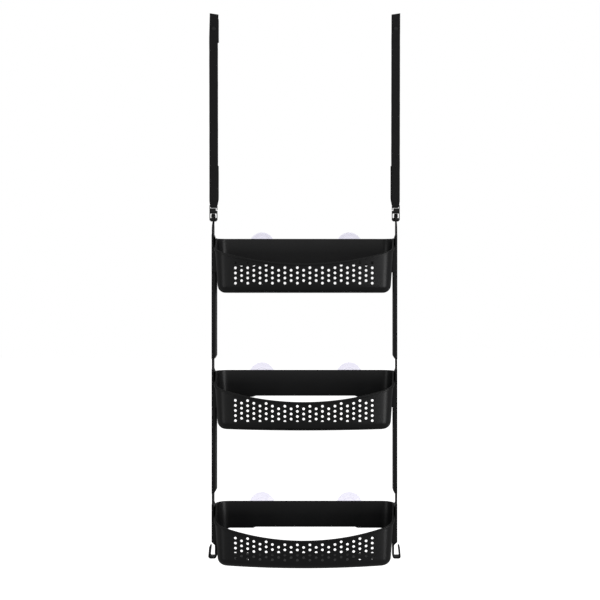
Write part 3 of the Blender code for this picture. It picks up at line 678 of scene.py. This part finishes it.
def rimBeside(b, y):
    half, backRun = basketPlan(b)
    beside = [s for s in half if s[0] > b["halfWidth"] - b["frontCorner"] and s[2] < math.pi / 2]
    for before, after in zip(beside, beside[1:]):
        if before[1] <= y <= after[1]:
            share = (y - before[1]) / (after[1] - before[1])
            return rimHeight(b, before[3] + share * (after[3] - before[3]), backRun)
    return 0


def bracketMesh(sign, r, b):
    # its inner side follows the wall, and its ledge lies under the basket's lip
    bm = bmesh.new()
    rings = []
    half, edge = r["width"] / 2, 0.4 * mm
    tabIn = r["outer"] - r["tab"]
    stops = [(-half, edge * 0.5), (-half + 0.15 * mm, 0.08 * mm), (-half + edge, 0)]
    stops += [(-half + edge + (2 * half - 2 * edge) * k / 8, 0) for k in range(1, 8)]
    stops += [(half - edge, 0), (half - 0.15 * mm, 0.08 * mm), (half, edge * 0.5)]
    for y, inward in stops:
        ledge = rimBeside(b, y) - b["lipHeight"] - 2 * r["gap"]
        cheek = wallHalf(b, y, 0) + b["lipOut"] + r["gap"]
        under = wallHalf(b, y, -ledge) + r["gap"]
        foot = wallHalf(b, y, r["bracketDrop"]) + r["gap"]
        over = cheek - r["shoulderReach"]
        corners = [(foot, -r["bracketDrop"]), (r["outer"], -r["bracketDrop"]), (r["outer"], r["shoulder"]), (tabIn, r["shoulder"]),
                   (over, 1.2 * mm), (over, r["gap"]), (cheek, r["gap"]), (cheek, ledge), (under, ledge)]
        outline = roundCorners(corners, [e * mm for e in (0.3, 0.3, 0.3, 0.6, 0.5, 0.1, 0.05, 0.1, 0.1)], 3)
        rings.append([bm.verts.new((sign * x, y, z)) for x, z in leftOf(outline, inward)])
    skin(bm, rings)
    bm.faces.new(rings[0])
    bm.faces.new(rings[-1])
    return meshFrom(bm)


def tabIn(r):
    return r["outer"] - r["tab"]


def crookParts(sign, r, c, top):
    # the top tier's tab ends in a hook over the clip's lower bar, with a flange along its back
    eye = math.hypot(c["thickness"] / 2 - c["bevel"], c["lowBar"] / 2) + 1.3 * r["gap"]
    outer = eye + c["crook"]
    z = c["swing"] - top
    half = r["tabWidth"] / 2
    shoulder = z - outer - 4 * mm
    outline = [(half, -4 * mm), (half, shoulder)]
    outline += arcPoints((0, z), outer, -35, 200, 40) + arcPoints((0, z), eye, 200, -60, 36)
    outline += arcPoints((0, z), outer, -120, -116, 1)[:1] + [(-half, shoulder), (-half, -4 * mm)]
    shank = slabMesh([outline], sign * tabIn(r), sign * r["outer"], "X", 0.3 * mm)
    middle = sign * (r["outer"] - r["tab"] / 2 - 0.35 * mm)
    bm = bmesh.new()
    rings = []
    for k in range(33):
        a = math.radians(-20 + 200 * k / 32)
        ends = min(1.0, min(k, 32 - k) / 4)
        wide = (0.75 * mm + (c["flange"] / 2 - 0.75 * mm) * ends)
        ring = []
        for radius, x in ((outer - 3.4 * mm, 0.7 * mm), (outer - 1.5 * mm, wide * 0.72), (outer - 0.5 * mm, wide),
                          (outer, wide * 0.86), (outer, -wide * 0.86), (outer - 0.5 * mm, -wide),
                          (outer - 1.5 * mm, -wide * 0.72), (outer - 3.4 * mm, -0.7 * mm)):
            ring.append(bm.verts.new((middle + x, radius * math.cos(a), z + radius * math.sin(a))))
        rings.append(ring)
    skin(bm, rings)
    bm.faces.new(rings[0])
    bm.faces.new(rings[-1])
    return shank, meshFrom(bm)


def headTab(sign, r):
    # a lower tier's tab: its wider head rests in the connector above
    half, head, foot = r["tabWidth"] / 2, r["headWidth"] / 2, r["ledge"] + r["gap"]
    corners = [(half, -4 * mm), (half, foot), (head, foot), (head, foot + r["headHeight"]), (-head, foot + r["headHeight"]),
               (-head, foot), (-half, foot), (-half, -4 * mm)]
    outline = roundCorners(corners, [0, 0.8 * mm, 0.4 * mm, 1.5 * mm, 1.5 * mm, 0.4 * mm, 0.8 * mm, 0], 5)
    return slabMesh([outline], sign * tabIn(r), sign * r["outer"], "X", 0.3 * mm)


def tongueSpan(r):
    middle = r["outer"] - r["bar"] / 2
    return middle - r["tab"] / 2, middle + r["tab"] / 2


def tonguePocket(sign, r):
    low, high = tongueSpan(r)
    outline = box2(
        *sorted((sign * (low - r["gap"]), sign * (high + r["gap"]))), -r["bracketDrop"] - mm,
        -r["bracketDrop"] + r["tongue"] + r["gap"]
    )
    return slabMesh([outline], -r["tabWidth"] / 2 - r["gap"], r["tabWidth"] / 2 + r["gap"], "Y", 0.01 * mm, 1)


def facePanel(sign, r, low, high, depth=0.5 * mm):
    # the shallow sunk panel on a rail's outer face
    half = r["width"] / 2 - 4.2 * mm
    outline = roundCorners(box2(-half, half, low, high), 2.4 * mm, 6)
    return slabMesh([outline], sign * (r["outer"] - depth), sign * (r["outer"] + 2 * mm), "X", 0.2 * mm, 2)


for tier in tiers:
    top = tierTop[tier]
    for side, sign in sides.items():
        steps = [
            ("UNION", part) for part in (
                crookParts(sign, rail, clip, top) if tier == "top" else [headTab(sign, rail)]
            )
        ]
        steps += [
            ("DIFFERENCE", tonguePocket(sign, rail)),
            ("DIFFERENCE", facePanel(sign, rail, -rail["bracketDrop"] + 5 * mm, -6 * mm))
        ]
        addPiece(
            f"hanger_body_{tier}_{side}", carved(bracketMesh(sign, rail, basket), steps), plastic, f"{tier}_tier",
            [f"hanger_{tier}_{side}"], (0, 0, top),
        )
print("hangers done")


# connectors and towel hooks

def tongueMesh(sign, r):
    low, high = sorted(sign * x for x in tongueSpan(r))
    top = -r["bracketDrop"] - r["gap"]
    outline = roundCorners(
        box2(-r["tabWidth"] / 2, r["tabWidth"] / 2, top - 2 * mm, top + r["tongue"]), [0, 0, 1.2 * mm, 1.2 * mm]
    )
    return slabMesh([outline], low, high, "X", 0.2 * mm, 2)


def connectorMesh(sign, r):
    inner, top = r["outer"] - r["bar"], -r["bracketDrop"] - r["seam"]
    mouth, groove = -pitch + r["mouthRise"], tabIn(r) - r["gap"]
    corners = [
        (inner, top), (inner, mouth + r["mouthTaper"]), (groove - 0.8 * mm, mouth), (r["outer"], mouth),
        (r["outer"], top)
    ]
    outline = roundCorners(corners[::-1], [0.5 * mm, 0.5 * mm, 0.2 * mm, 1.2 * mm, 0.5 * mm], 4)
    half = r["width"] / 2
    bar = slabMesh([flipped(outline, sign)], -half, half, "Y", 0.6 * mm, 4)
    narrow, wide = r["tabWidth"] / 2 + r["gap"], r["headWidth"] / 2 + r["gap"]
    ledge = -pitch + r["ledge"]
    ceiling = ledge + r["headHeight"] + r["lift"] + 2 * r["gap"]
    slot = [(-narrow, mouth - 2 * mm), (narrow, mouth - 2 * mm), (narrow, ledge), (wide, ledge), (wide, ceiling), (-wide, ceiling),
            (-wide, ledge), (-narrow, ledge)]
    slot = roundCorners(slot, [0, 0, 0.3 * mm, 0.6 * mm, 1 * mm, 1 * mm, 0.6 * mm, 0.3 * mm], 4)
    return carved(bar, [
        ("UNION", tongueMesh(sign, r)),
        ("DIFFERENCE", slabMesh([slot], sign * groove, sign * (r["outer"] + 2 * mm), "X", 0.01 * mm, 1)),
        ("DIFFERENCE", facePanel(sign, r, ceiling + 8 * mm, top - 6 * mm)),
    ])


for level, tier in (("upper", "top"), ("lower", "middle")):
    for side, sign in sides.items():
        addPiece(
            f"connector_bar_{level}_{side}", connectorMesh(sign, rail), plastic, f"{tier}_tier",
            [f"connector_{level}_{side}"], (0, 0, tierTop[tier]),
        )

towelHook = {
    "drop": 77.9 * mm, "reach": 12.7 * mm, "arm": 18.0 * mm, "thickness": 2.5 * mm, "width": 20.0 * mm,
    "lean": 1.7 * mm
}


def towelHookMesh(sign, t, r, b):
    top, thick = -r["bracketDrop"] - r["seam"], t["thickness"]
    stem = wallHalf(b, t["width"] / 2, r["bracketDrop"]) + 2 * r["gap"]
    shoulder = top - 0.6 * mm
    waist = shoulder - (r["outer"] - stem - thick)
    foot, reach = -t["drop"], stem + t["reach"]
    lip = foot + t["arm"]
    corners = [
        (stem, top), (stem, foot), (reach, foot), (reach - t["lean"], lip), (reach - t["lean"] - thick, lip),
        (reach - thick, foot + thick), (stem + thick, foot + thick), (stem + thick, waist), (r["outer"], shoulder),
        (r["outer"], top),
    ]
    bend = 3.4 * mm
    outline = roundCorners(
        corners, [
            0.2 * mm, bend, bend, 0.8 * mm, 0.8 * mm, bend - thick, bend - thick, 1.4 * mm, 0.3 * mm, 0.2 * mm
        ], 7
    )
    bent = slabMesh([flipped(outline, sign)], -t["width"] / 2, t["width"] / 2, "Y", 0.4 * mm, 3)
    return carved(bent, [("UNION", tongueMesh(sign, r))])


for side, sign in sides.items():
    addPiece(
        f"towel_hook_bent_{side}", towelHookMesh(sign, towelHook, rail, basket), plastic, "bottom_tier",
        [f"towel_hook_{side}"], (0, 0, tierTop["bottom"]),
    )
print("connectors and towel hooks done")


# strap clips

def clipMesh(sign, c):
    half, foot = c["width"] / 2, c["windowFoot"] - c["lowBar"]
    inside, taper = half - c["cheek"], 2.2 * mm
    gateLow = c["slotTop"] - c["notch"]
    gateHigh, channel = gateLow + c["gate"], -half + 2.4 * mm
    corners = [
        (-half, gateHigh), (-half, c["top"]), (half, c["top"]), (half, foot + taper), (half - taper, foot),
        (-half + taper, foot), (-half, foot + taper), (-half, gateLow), (channel, gateLow), (channel, c["slotFoot"]),
        (inside, c["slotFoot"]), (inside, c["slotTop"]), (-inside, c["slotTop"]), (-inside, gateHigh),
    ]
    eased = [0.3, 1.0, 1.0, 0.8, 0.8, 0.8, 0.8, 0.3, 0.4, 0.2, 0.5, 0.5, 0.5, 0.3]
    outside = roundCorners(corners, [e * mm for e in eased], 4)
    window = roundCorners(box2(-inside, inside, c["windowFoot"], c["windowTop"]), 0.7 * mm, 4)
    x = sign * c["x"]
    return slabMesh(
        [[(x + sign * a, z) for a, z in loop] for loop in (outside, window)], -c["thickness"] / 2,
        c["thickness"] / 2, "Y", 0.42 * mm, 4
    )


for side, sign in sides.items():
    addPiece(f"clip_{side}", clipMesh(sign, clip), plastic, "straps", [f"strap_clip_{side}"])
print("clips done")


# straps: one length of webbing from under the rivet, round the clip's top bar and back up as a sewn tail

strap = {
    "width": 13.2 * mm, "thickness": 1.3 * mm, "top": 1.0 * mm, "fold": 60.0 * mm, "loopWidth": 9.0 * mm,
    "tailShift": 0.9 * mm, "lean": 0.9 * mm, "slant": 0.9 * mm, "drift": 0.5 * mm,
    "flex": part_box("strap_top_left")[0][2], "rivetDrop": 21.5 * mm,
}


def strapPath(s, c):
    # side view (y, z) with the width there and how far the ply stands towards the middle
    ply, half = s["thickness"] / 2, s["thickness"] / 2 + 0.03 * mm
    foldTop = c["top"] + 2 * mm + s["fold"]
    barZ = c["top"] - c["topBar"] / 2
    wrap = c["topBar"] / 2 + 0.3 * mm + ply
    path = []
    z = s["top"]
    while z > foldTop + 14 * mm:
        path.append((0, z, s["width"], 0))
        z -= 3 * mm
    path += [(0, foldTop + 10 * mm, s["width"], 0), (-0.15 * mm, foldTop + 6 * mm, s["width"], 0)]
    path += [(-0.5 * mm, foldTop + 2 * mm, s["width"], 0), (-half, foldTop - 2 * mm, s["width"], 0)]
    z = foldTop - 5 * mm
    while z > c["top"] + 8 * mm:
        path.append((-half, z, s["width"], 0))
        z -= 3 * mm
    down = [(-half, c["top"] + 6.5 * mm, s["width"]), (-half, c["top"] + 4.6 * mm, s["width"] * 0.985),
            (-0.85 * mm, c["top"] + 3 * mm, s["width"] * 0.96), (-1.25 * mm, c["top"] + 1.6 * mm, s["width"] * 0.93),
            (-1.8 * mm, c["top"] + 0.3 * mm, s["width"] * 0.88), (-1.98 * mm, c["top"] - 0.7 * mm, s["loopWidth"] * 1.05)]
    path += [(y, z, w, 0) for y, z, w in down]
    path += [(y, z, s["loopWidth"], 0) for y, z in arcPoints((0, barZ), wrap, 180, 360, 12)]
    path += [(-y, z, w, 1) for y, z, w in down[::-1]]
    z = c["top"] + 8 * mm
    while z < foldTop:
        path.append((half, z, s["width"], 1))
        z += 3 * mm
    return path


def strapMesh(sign, s, c):
    path = strapPath(s, c)
    ply = s["thickness"] / 2
    bm = bmesh.new()
    uv = bm.loops.layers.uv.new("weave")
    rings, runs, run = [], [], 0.0
    across = []
    for k in range(9):
        across.append((-1 + 2 * k / 8, 1.0 if 0 < k < 8 else 0.45))
    shape = [(u, h) for u, h in across] + [(u, -h) for u, h in across[::-1]]
    lean = s["lean"] if sign < 0 else s["lean"] * 0.2
    for k, (y, z, width, behind) in enumerate(path):
        upper = max(0.0, 1 + z / (34 * mm))
        slant = s["slant"] * max(0.0, 1 + z / (12 * mm))
        ahead = Vector(path[min(k + 1, len(path) - 1)][:2]) - Vector(path[max(k - 1, 0)][:2])
        normal = Vector((ahead.y, -ahead.x)).normalized()
        if k:
            run += math.dist(path[k - 1][:2], path[k][:2])
        runs.append(run)
        sway = 0.10 * mm * noise.noise(Vector((sign * 7, 0, run * 60)))
        shift = sign * (c["x"] + sway) - sign * behind * s["tailShift"] * min(
            1, max(0, (z - c["top"] - 3 * mm) / (6 * mm))
        )
        ring = []
        for u, h in shape:
            selvedge = 1.0 + (0.14 if abs(u) == 0.75 else 0.0)
            lift = ply * 0.94 * h * selvedge
            out = lean * upper - sign * s["drift"] * min(1.0, -z / abs(c["top"]))
            ring.append(
                bm.verts.new(
                    (shift + out + u * width / 2, y + normal.x * lift, z + normal.y * lift + sign * u * slant)
                )
            )
        rings.append(ring)
    count = len(shape)
    for k in range(len(rings) - 1):
        for j in range(count):
            on = (j + 1) % count
            face = bm.faces.new([rings[k][j], rings[k][on], rings[k + 1][on], rings[k + 1][j]])
            for loop, (row, spot) in zip(face.loops, ((k, j), (k, on), (k + 1, on), (k + 1, j))):
                loop[uv].uv = (shape[spot][0] * path[row][2] / 2 + 0.02, runs[row])
    for ring in (rings[0], rings[-1]):
        bm.faces.new(ring)
    return meshFrom(bm), run


def stitch(bm, start, end, radius=0.32 * mm):
    # one thread float: a short tube that dips into the cloth at both ends
    start, end = Vector(start), Vector(end)
    along = (end - start).normalized()
    up = Vector((0, 1, 0))
    side = along.cross(up)
    rings = []
    for share, thin, dip in (
        (0, 0.3, -0.8), (0.12, 0.8, -0.2), (0.3, 1, 0), (0.5, 1, 0.12), (0.7, 1, 0), (0.88, 0.8, -0.2), (1, 0.3, -0.8)
    ):
        center = start.lerp(end, share) + up * dip * radius * (1 if start.y > 0 else -1)
        rings.append([bm.verts.new(center + (side * math.cos(a) + up * math.sin(a)) * radius * thin)
                      for a in (math.tau * k / 7 for k in range(7))])
    skin(bm, rings)
    bm.faces.new(rings[0])
    bm.faces.new(rings[-1])


def stitchRun(bm, a, b, y, pitchOf=2.3 * mm):
    a, b = Vector((a[0], y, a[1])), Vector((b[0], y, b[1]))
    count = max(1, round((b - a).length / pitchOf))
    for k in range(count):
        stitch(bm, a.lerp(b, (k + 0.14) / count), a.lerp(b, (k + 0.86) / count))


def stitchMesh(sign, s, c):
    bm = bmesh.new()
    x, half = sign * c["x"], s["width"] / 2 - 1.9 * mm
    low, high = c["top"] + 6 * mm, c["top"] + 18 * mm
    foldTop = c["top"] + 2 * mm + s["fold"]
    for y in (-s["thickness"] - 0.02 * mm, s["thickness"] + 0.02 * mm):
        middle = x - (sign * s["tailShift"] if y > 0 else 0)
        corners = [(middle - half, low), (middle + half, low), (middle + half, high), (middle - half, high)]
        for a, b in zip(corners, corners[1:] + corners[:1]):
            stitchRun(bm, a, b, y)
        stitchRun(bm, corners[0], corners[2], y)
        stitchRun(bm, corners[1], corners[3], y)
        for z in (foldTop - 5 * mm, foldTop - 8 * mm):
            stitchRun(bm, (middle - half, z), (middle + half, z), y)
    return meshFrom(bm)


for side, sign in sides.items():
    mesh, length = strapMesh(sign, strap, clip)
    piece = addPiece(
        f"webbing_{side}", mesh, webbingCloth, None, [f"strap_{side}", f"strap_top_{side}"], sharp=60
    )
    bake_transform(piece)
    seams = addPiece(f"stitches_{side}", stitchMesh(sign, strap, clip), thread, "straps")
    print("webbing", side, round(length, 4), "m")


# door hooks and rivets

doorHook = {
    "width": 8.6 * mm, "thickness": 1.5 * mm, "frontLeg": 29.4 * mm, "backLeg": 34.0 * mm, "gap": 38.0 * mm,
    "bend": 3.0 * mm
}


def hookMesh(x, h, s):
    near = s["thickness"] / 2 + 0.3 * mm + h["thickness"] / 2
    far = near + h["gap"] + h["thickness"]
    run, thick = h["thickness"] / 2, h["thickness"]
    corners = [
        (near, -h["frontLeg"]), (near, run), (far, run), (far, -h["backLeg"] + 6 * mm),
        (far + 2.5 * mm, -h["backLeg"])
    ]
    path = [corners[0]]
    for k in (1, 2, 3):
        path += roundCorners(
            [corners[k - 1], corners[k], corners[k + 1]], [0, h["bend"] if k < 3 else 5 * mm, 0], 8
        )[1:-1]
    path.append(corners[-1])
    left, right = [], []
    for k, point in enumerate(path):
        here = Vector(point)
        before = (here - Vector(path[k - 1])).normalized() if k else None
        after = (Vector(path[k + 1]) - here).normalized() if k < len(path) - 1 else before
        before = before or after
        middle = (before + after).normalized()
        side = Vector((-middle.y, middle.x)) * (thick / 2 / max(0.5, middle.dot(before)))
        left.append(tuple(here + side))
        right.append(tuple(here - side))
    body = slabMesh([left + right[::-1]], x - h["width"] / 2, x + h["width"] / 2, "X", 0.4 * mm, 3)
    bm = bmesh.new()
    turned(
        bm, [(0, near - 3 * mm), (2.3 * mm, near - 3 * mm), (2.3 * mm, near + 3 * mm), (0, near + 3 * mm)], 24,
        (x, 0, -s["rivetDrop"])
    )
    return carved(body, [("DIFFERENCE", meshFrom(bm))])


rivet = {"shank": 2.0 * mm, "head": 3.4 * mm, "dome": 0.8 * mm}


def rivetMesh(r, h, s):
    front = -s["thickness"] / 2 - 0.3 * mm
    back = s["thickness"] / 2 + 0.3 * mm + h["thickness"] + 0.3 * mm
    dome = [(0, front - r["dome"])]
    dome += [
        (
            r["head"] * math.sin(math.radians(a)),
            front - 0.35 * mm - (r["dome"] - 0.35 * mm) * math.cos(math.radians(a))
        ) for a in range(12, 91, 13)
    ]
    profile = dome + [
        (r["head"], front - 0.12 * mm), (r["head"] - 0.15 * mm, front), (r["shank"], front), (r["shank"], back)
    ]
    profile += [
        (r["head"] * 0.8, back), (r["head"] * 0.8, back + 0.25 * mm), (r["head"] * 0.66, back + 0.5 * mm),
        (r["head"] * 0.3, back + 0.56 * mm), (0, back + 0.36 * mm)
    ]
    bm = bmesh.new()
    turned(bm, profile, 32)
    return meshFrom(bm)


for side, sign in sides.items():
    x = sign * clip["x"]
    addPiece(
        f"hook_strip_{side}", hookMesh(x, doorHook, strap), coatedSteel, "door_hooks",
        [f"door_hook_{side}"]
    )
    addPiece(
        f"rivet_{side}", rivetMesh(rivet, doorHook, strap), coatedSteel, "door_hooks",
        [f"strap_rivet_{side}"], (x, 0, -strap["rivetDrop"])
    )
print("door hooks done")


# suction cups

cup = {
    "width": 40.0 * mm, "depth": 13.0 * mm, "skin": 1.6 * mm, "boss": 12.0 * mm, "tabWidth": 7.0 * mm,
    "tabReach": 4.0 * mm
}


def cupMesh(c, p, b):
    start = b["back"] + p["gap"]
    neck = start + p["buttonDepth"]
    boss = neck + p["plate"] + 2.2 * p["gap"] + 0.4 * mm
    rim, wide, skinOf = boss + c["depth"], c["width"] / 2, c["skin"]
    knob, stem, hub = p["button"] / 2, p["neck"] / 2, c["boss"] / 2
    profile = [
        (0, start + 0.25 * mm), (knob * 0.55, start + 0.1 * mm), (knob - 0.7 * mm, start),
        (knob - 0.15 * mm, start + 0.2 * mm)
    ]
    profile += [
        (knob, start + 0.7 * mm), (knob, neck - 0.6 * mm), (knob - 0.5 * mm, neck), (stem + 0.4 * mm, neck),
        (stem, neck + 0.4 * mm)
    ]
    profile += [
        (stem, boss - 0.4 * mm), (stem + 0.4 * mm, boss), (hub - 0.8 * mm, boss), (hub - 0.2 * mm, boss + 0.25 * mm),
        (hub, boss + 0.9 * mm)
    ]
    # outside of the bell, with one raised ring
    bell = [(0.0, 0.0), (0.10, 0.10), (0.22, 0.19), (0.34, 0.27), (0.40, 0.30), (0.44, 0.285), (0.48, 0.34), (0.60, 0.44),
            (0.72, 0.56), (0.84, 0.71), (0.93, 0.85), (1.0, 0.955)]
    bellTop = boss + 2.6 * mm
    profile += [(hub + (wide - hub) * u, bellTop + (rim - bellTop) * v) for u, v in bell]
    profile += [
        (wide, rim - 0.25 * mm), (wide - 0.2 * mm, rim), (wide - skinOf + 0.3 * mm, rim),
        (wide - skinOf, rim - 0.3 * mm)
    ]
    hollow = [(0.9, 0.80), (0.78, 0.62), (0.64, 0.48), (0.48, 0.37), (0.30, 0.29), (0.14, 0.25)]
    profile += [((wide - skinOf) * u, bellTop + skinOf + (rim - bellTop - skinOf) * v) for u, v in hollow]
    profile += [(0, bellTop + skinOf + (rim - bellTop - skinOf) * 0.235)]
    bm = bmesh.new()
    turned(bm, profile, 64)
    half = c["tabWidth"] / 2
    corners = [
        (-half, -wide - c["tabReach"]), (half, -wide - c["tabReach"]), (half, -wide + 1.0 * mm),
        (-half, -wide + 1.0 * mm)
    ]
    tab = slabMesh(
        [roundCorners(corners, [2.5 * mm, 2.5 * mm, 0, 0], 6)], rim - 1.15 * mm, rim - 0.05 * mm, "Y", 0.3 * mm, 2
    )
    return carved(meshFrom(bm), [("UNION", tab)])


cupShape = cupMesh(cup, pocket, basket)
for tier in tiers:
    for side, sign in sides.items():
        addPiece(
            f"cup_{tier}_{side}", cupShape, vinyl, f"suction_cup_{tier}_{side}",
            [f"suction_cup_{tier}_{side}"],
            (sign * pocket["x"], 0, tierTop[tier] - pocket["drop"]), 40,
        )
print("suction cups done")


# studio

studio = {
    "floorZ": -0.90, "floorSize": 14.0, "backdrop": 1.0, "fill": 0.19,
    "softboxes": [
        {"name": "right_softbox", "at": (2.0, -1.3, -0.45), "size": (1.0, 2.2), "power": 19},
        {"name": "left_softbox", "at": (-2.2, -1.4, -0.6), "size": (1.0, 2.0), "power": 7},
        {"name": "front_softbox", "at": (0.3, -2.9, 0.9), "size": (3.0, 2.0), "power": 9},
    ],
}


def areaLight(spec, target):
    data = bpy.data.lights.new(spec["name"], "AREA")
    data.shape, data.size, data.size_y = "RECTANGLE", spec["size"][0], spec["size"][1]
    data.energy = spec["power"]
    light = bpy.data.objects.new(spec["name"], data)
    bpy.context.collection.objects.link(light)
    light.location = spec["at"]
    light.rotation_euler = (Vector(target) - Vector(spec["at"])).to_track_quat("-Z", "Y").to_euler()


def buildStudio(s):
    world = bpy.data.worlds.new("studio")
    bpy.context.scene.world = world
    world.use_nodes = True
    nodes, links = world.node_tree.nodes, world.node_tree.links
    nodes.clear()
    path, mix, out = nodes.new("ShaderNodeLightPath"), nodes.new("ShaderNodeMixShader"), nodes.new(
        "ShaderNodeOutputWorld"
    )
    through = nodes.new("ShaderNodeMath")
    through.operation = "MAXIMUM"
    links.new(path.outputs["Is Camera Ray"], through.inputs[0])
    links.new(path.outputs["Is Transmission Ray"], through.inputs[1])
    seen, fill = nodes.new("ShaderNodeBackground"), nodes.new("ShaderNodeBackground")
    seen.inputs["Color"].default_value, seen.inputs["Strength"].default_value = (1, 1, 1, 1), s["backdrop"]
    fill.inputs["Color"].default_value, fill.inputs["Strength"].default_value = (1, 1, 1, 1), s["fill"]
    links.new(through.outputs[0], mix.inputs[0])
    links.new(fill.outputs[0], mix.inputs[1])
    links.new(seen.outputs[0], mix.inputs[2])
    links.new(mix.outputs[0], out.inputs["Surface"])
    bm = bmesh.new()
    bmesh.ops.create_grid(bm, x_segments=8, y_segments=8, size=s["floorSize"] / 2)
    floor = bpy.data.objects.new("studio_floor", meshFrom(bm))
    floor.location = (0, 0, s["floorZ"])
    bpy.context.collection.objects.link(floor)
    paint = Paint("pale_floor")
    floor.data.materials.append(paint.finish(color=(1, 1, 1), roughness=0.9, specular=0.0))
    paint.shader.inputs["Emission Color"].default_value = (1, 1, 1, 1)
    paint.shader.inputs["Emission Strength"].default_value = 1.0
    floor.visible_diffuse = floor.visible_glossy = False
    for spec in s["softboxes"]:
        areaLight(spec, (0, 0, -0.45))
    view = bpy.context.scene.view_settings
    view.view_transform, view.look, view.exposure, view.gamma = "Standard", "None", 0, 1


camera = {"at": (44.3 * mm, -1914.7 * mm, -415.8 * mm), "lens": 76.08, "shiftX": -0.0566, "shiftY": -0.0167}


def addCamera(c):
    data = bpy.data.cameras.new("front_camera")
    data.lens, data.sensor_width = c["lens"], 36
    data.shift_x, data.shift_y = c["shiftX"], c["shiftY"]
    data.clip_start, data.clip_end = 0.05, 60
    shot = bpy.data.objects.new("front_camera", data)
    bpy.context.collection.objects.link(shot)
    shot.location = c["at"]
    shot.rotation_euler = (math.pi / 2, 0, 0)
    bpy.context.scene.camera = shot


buildStudio(studio)
addCamera(camera)
print("studio ready")
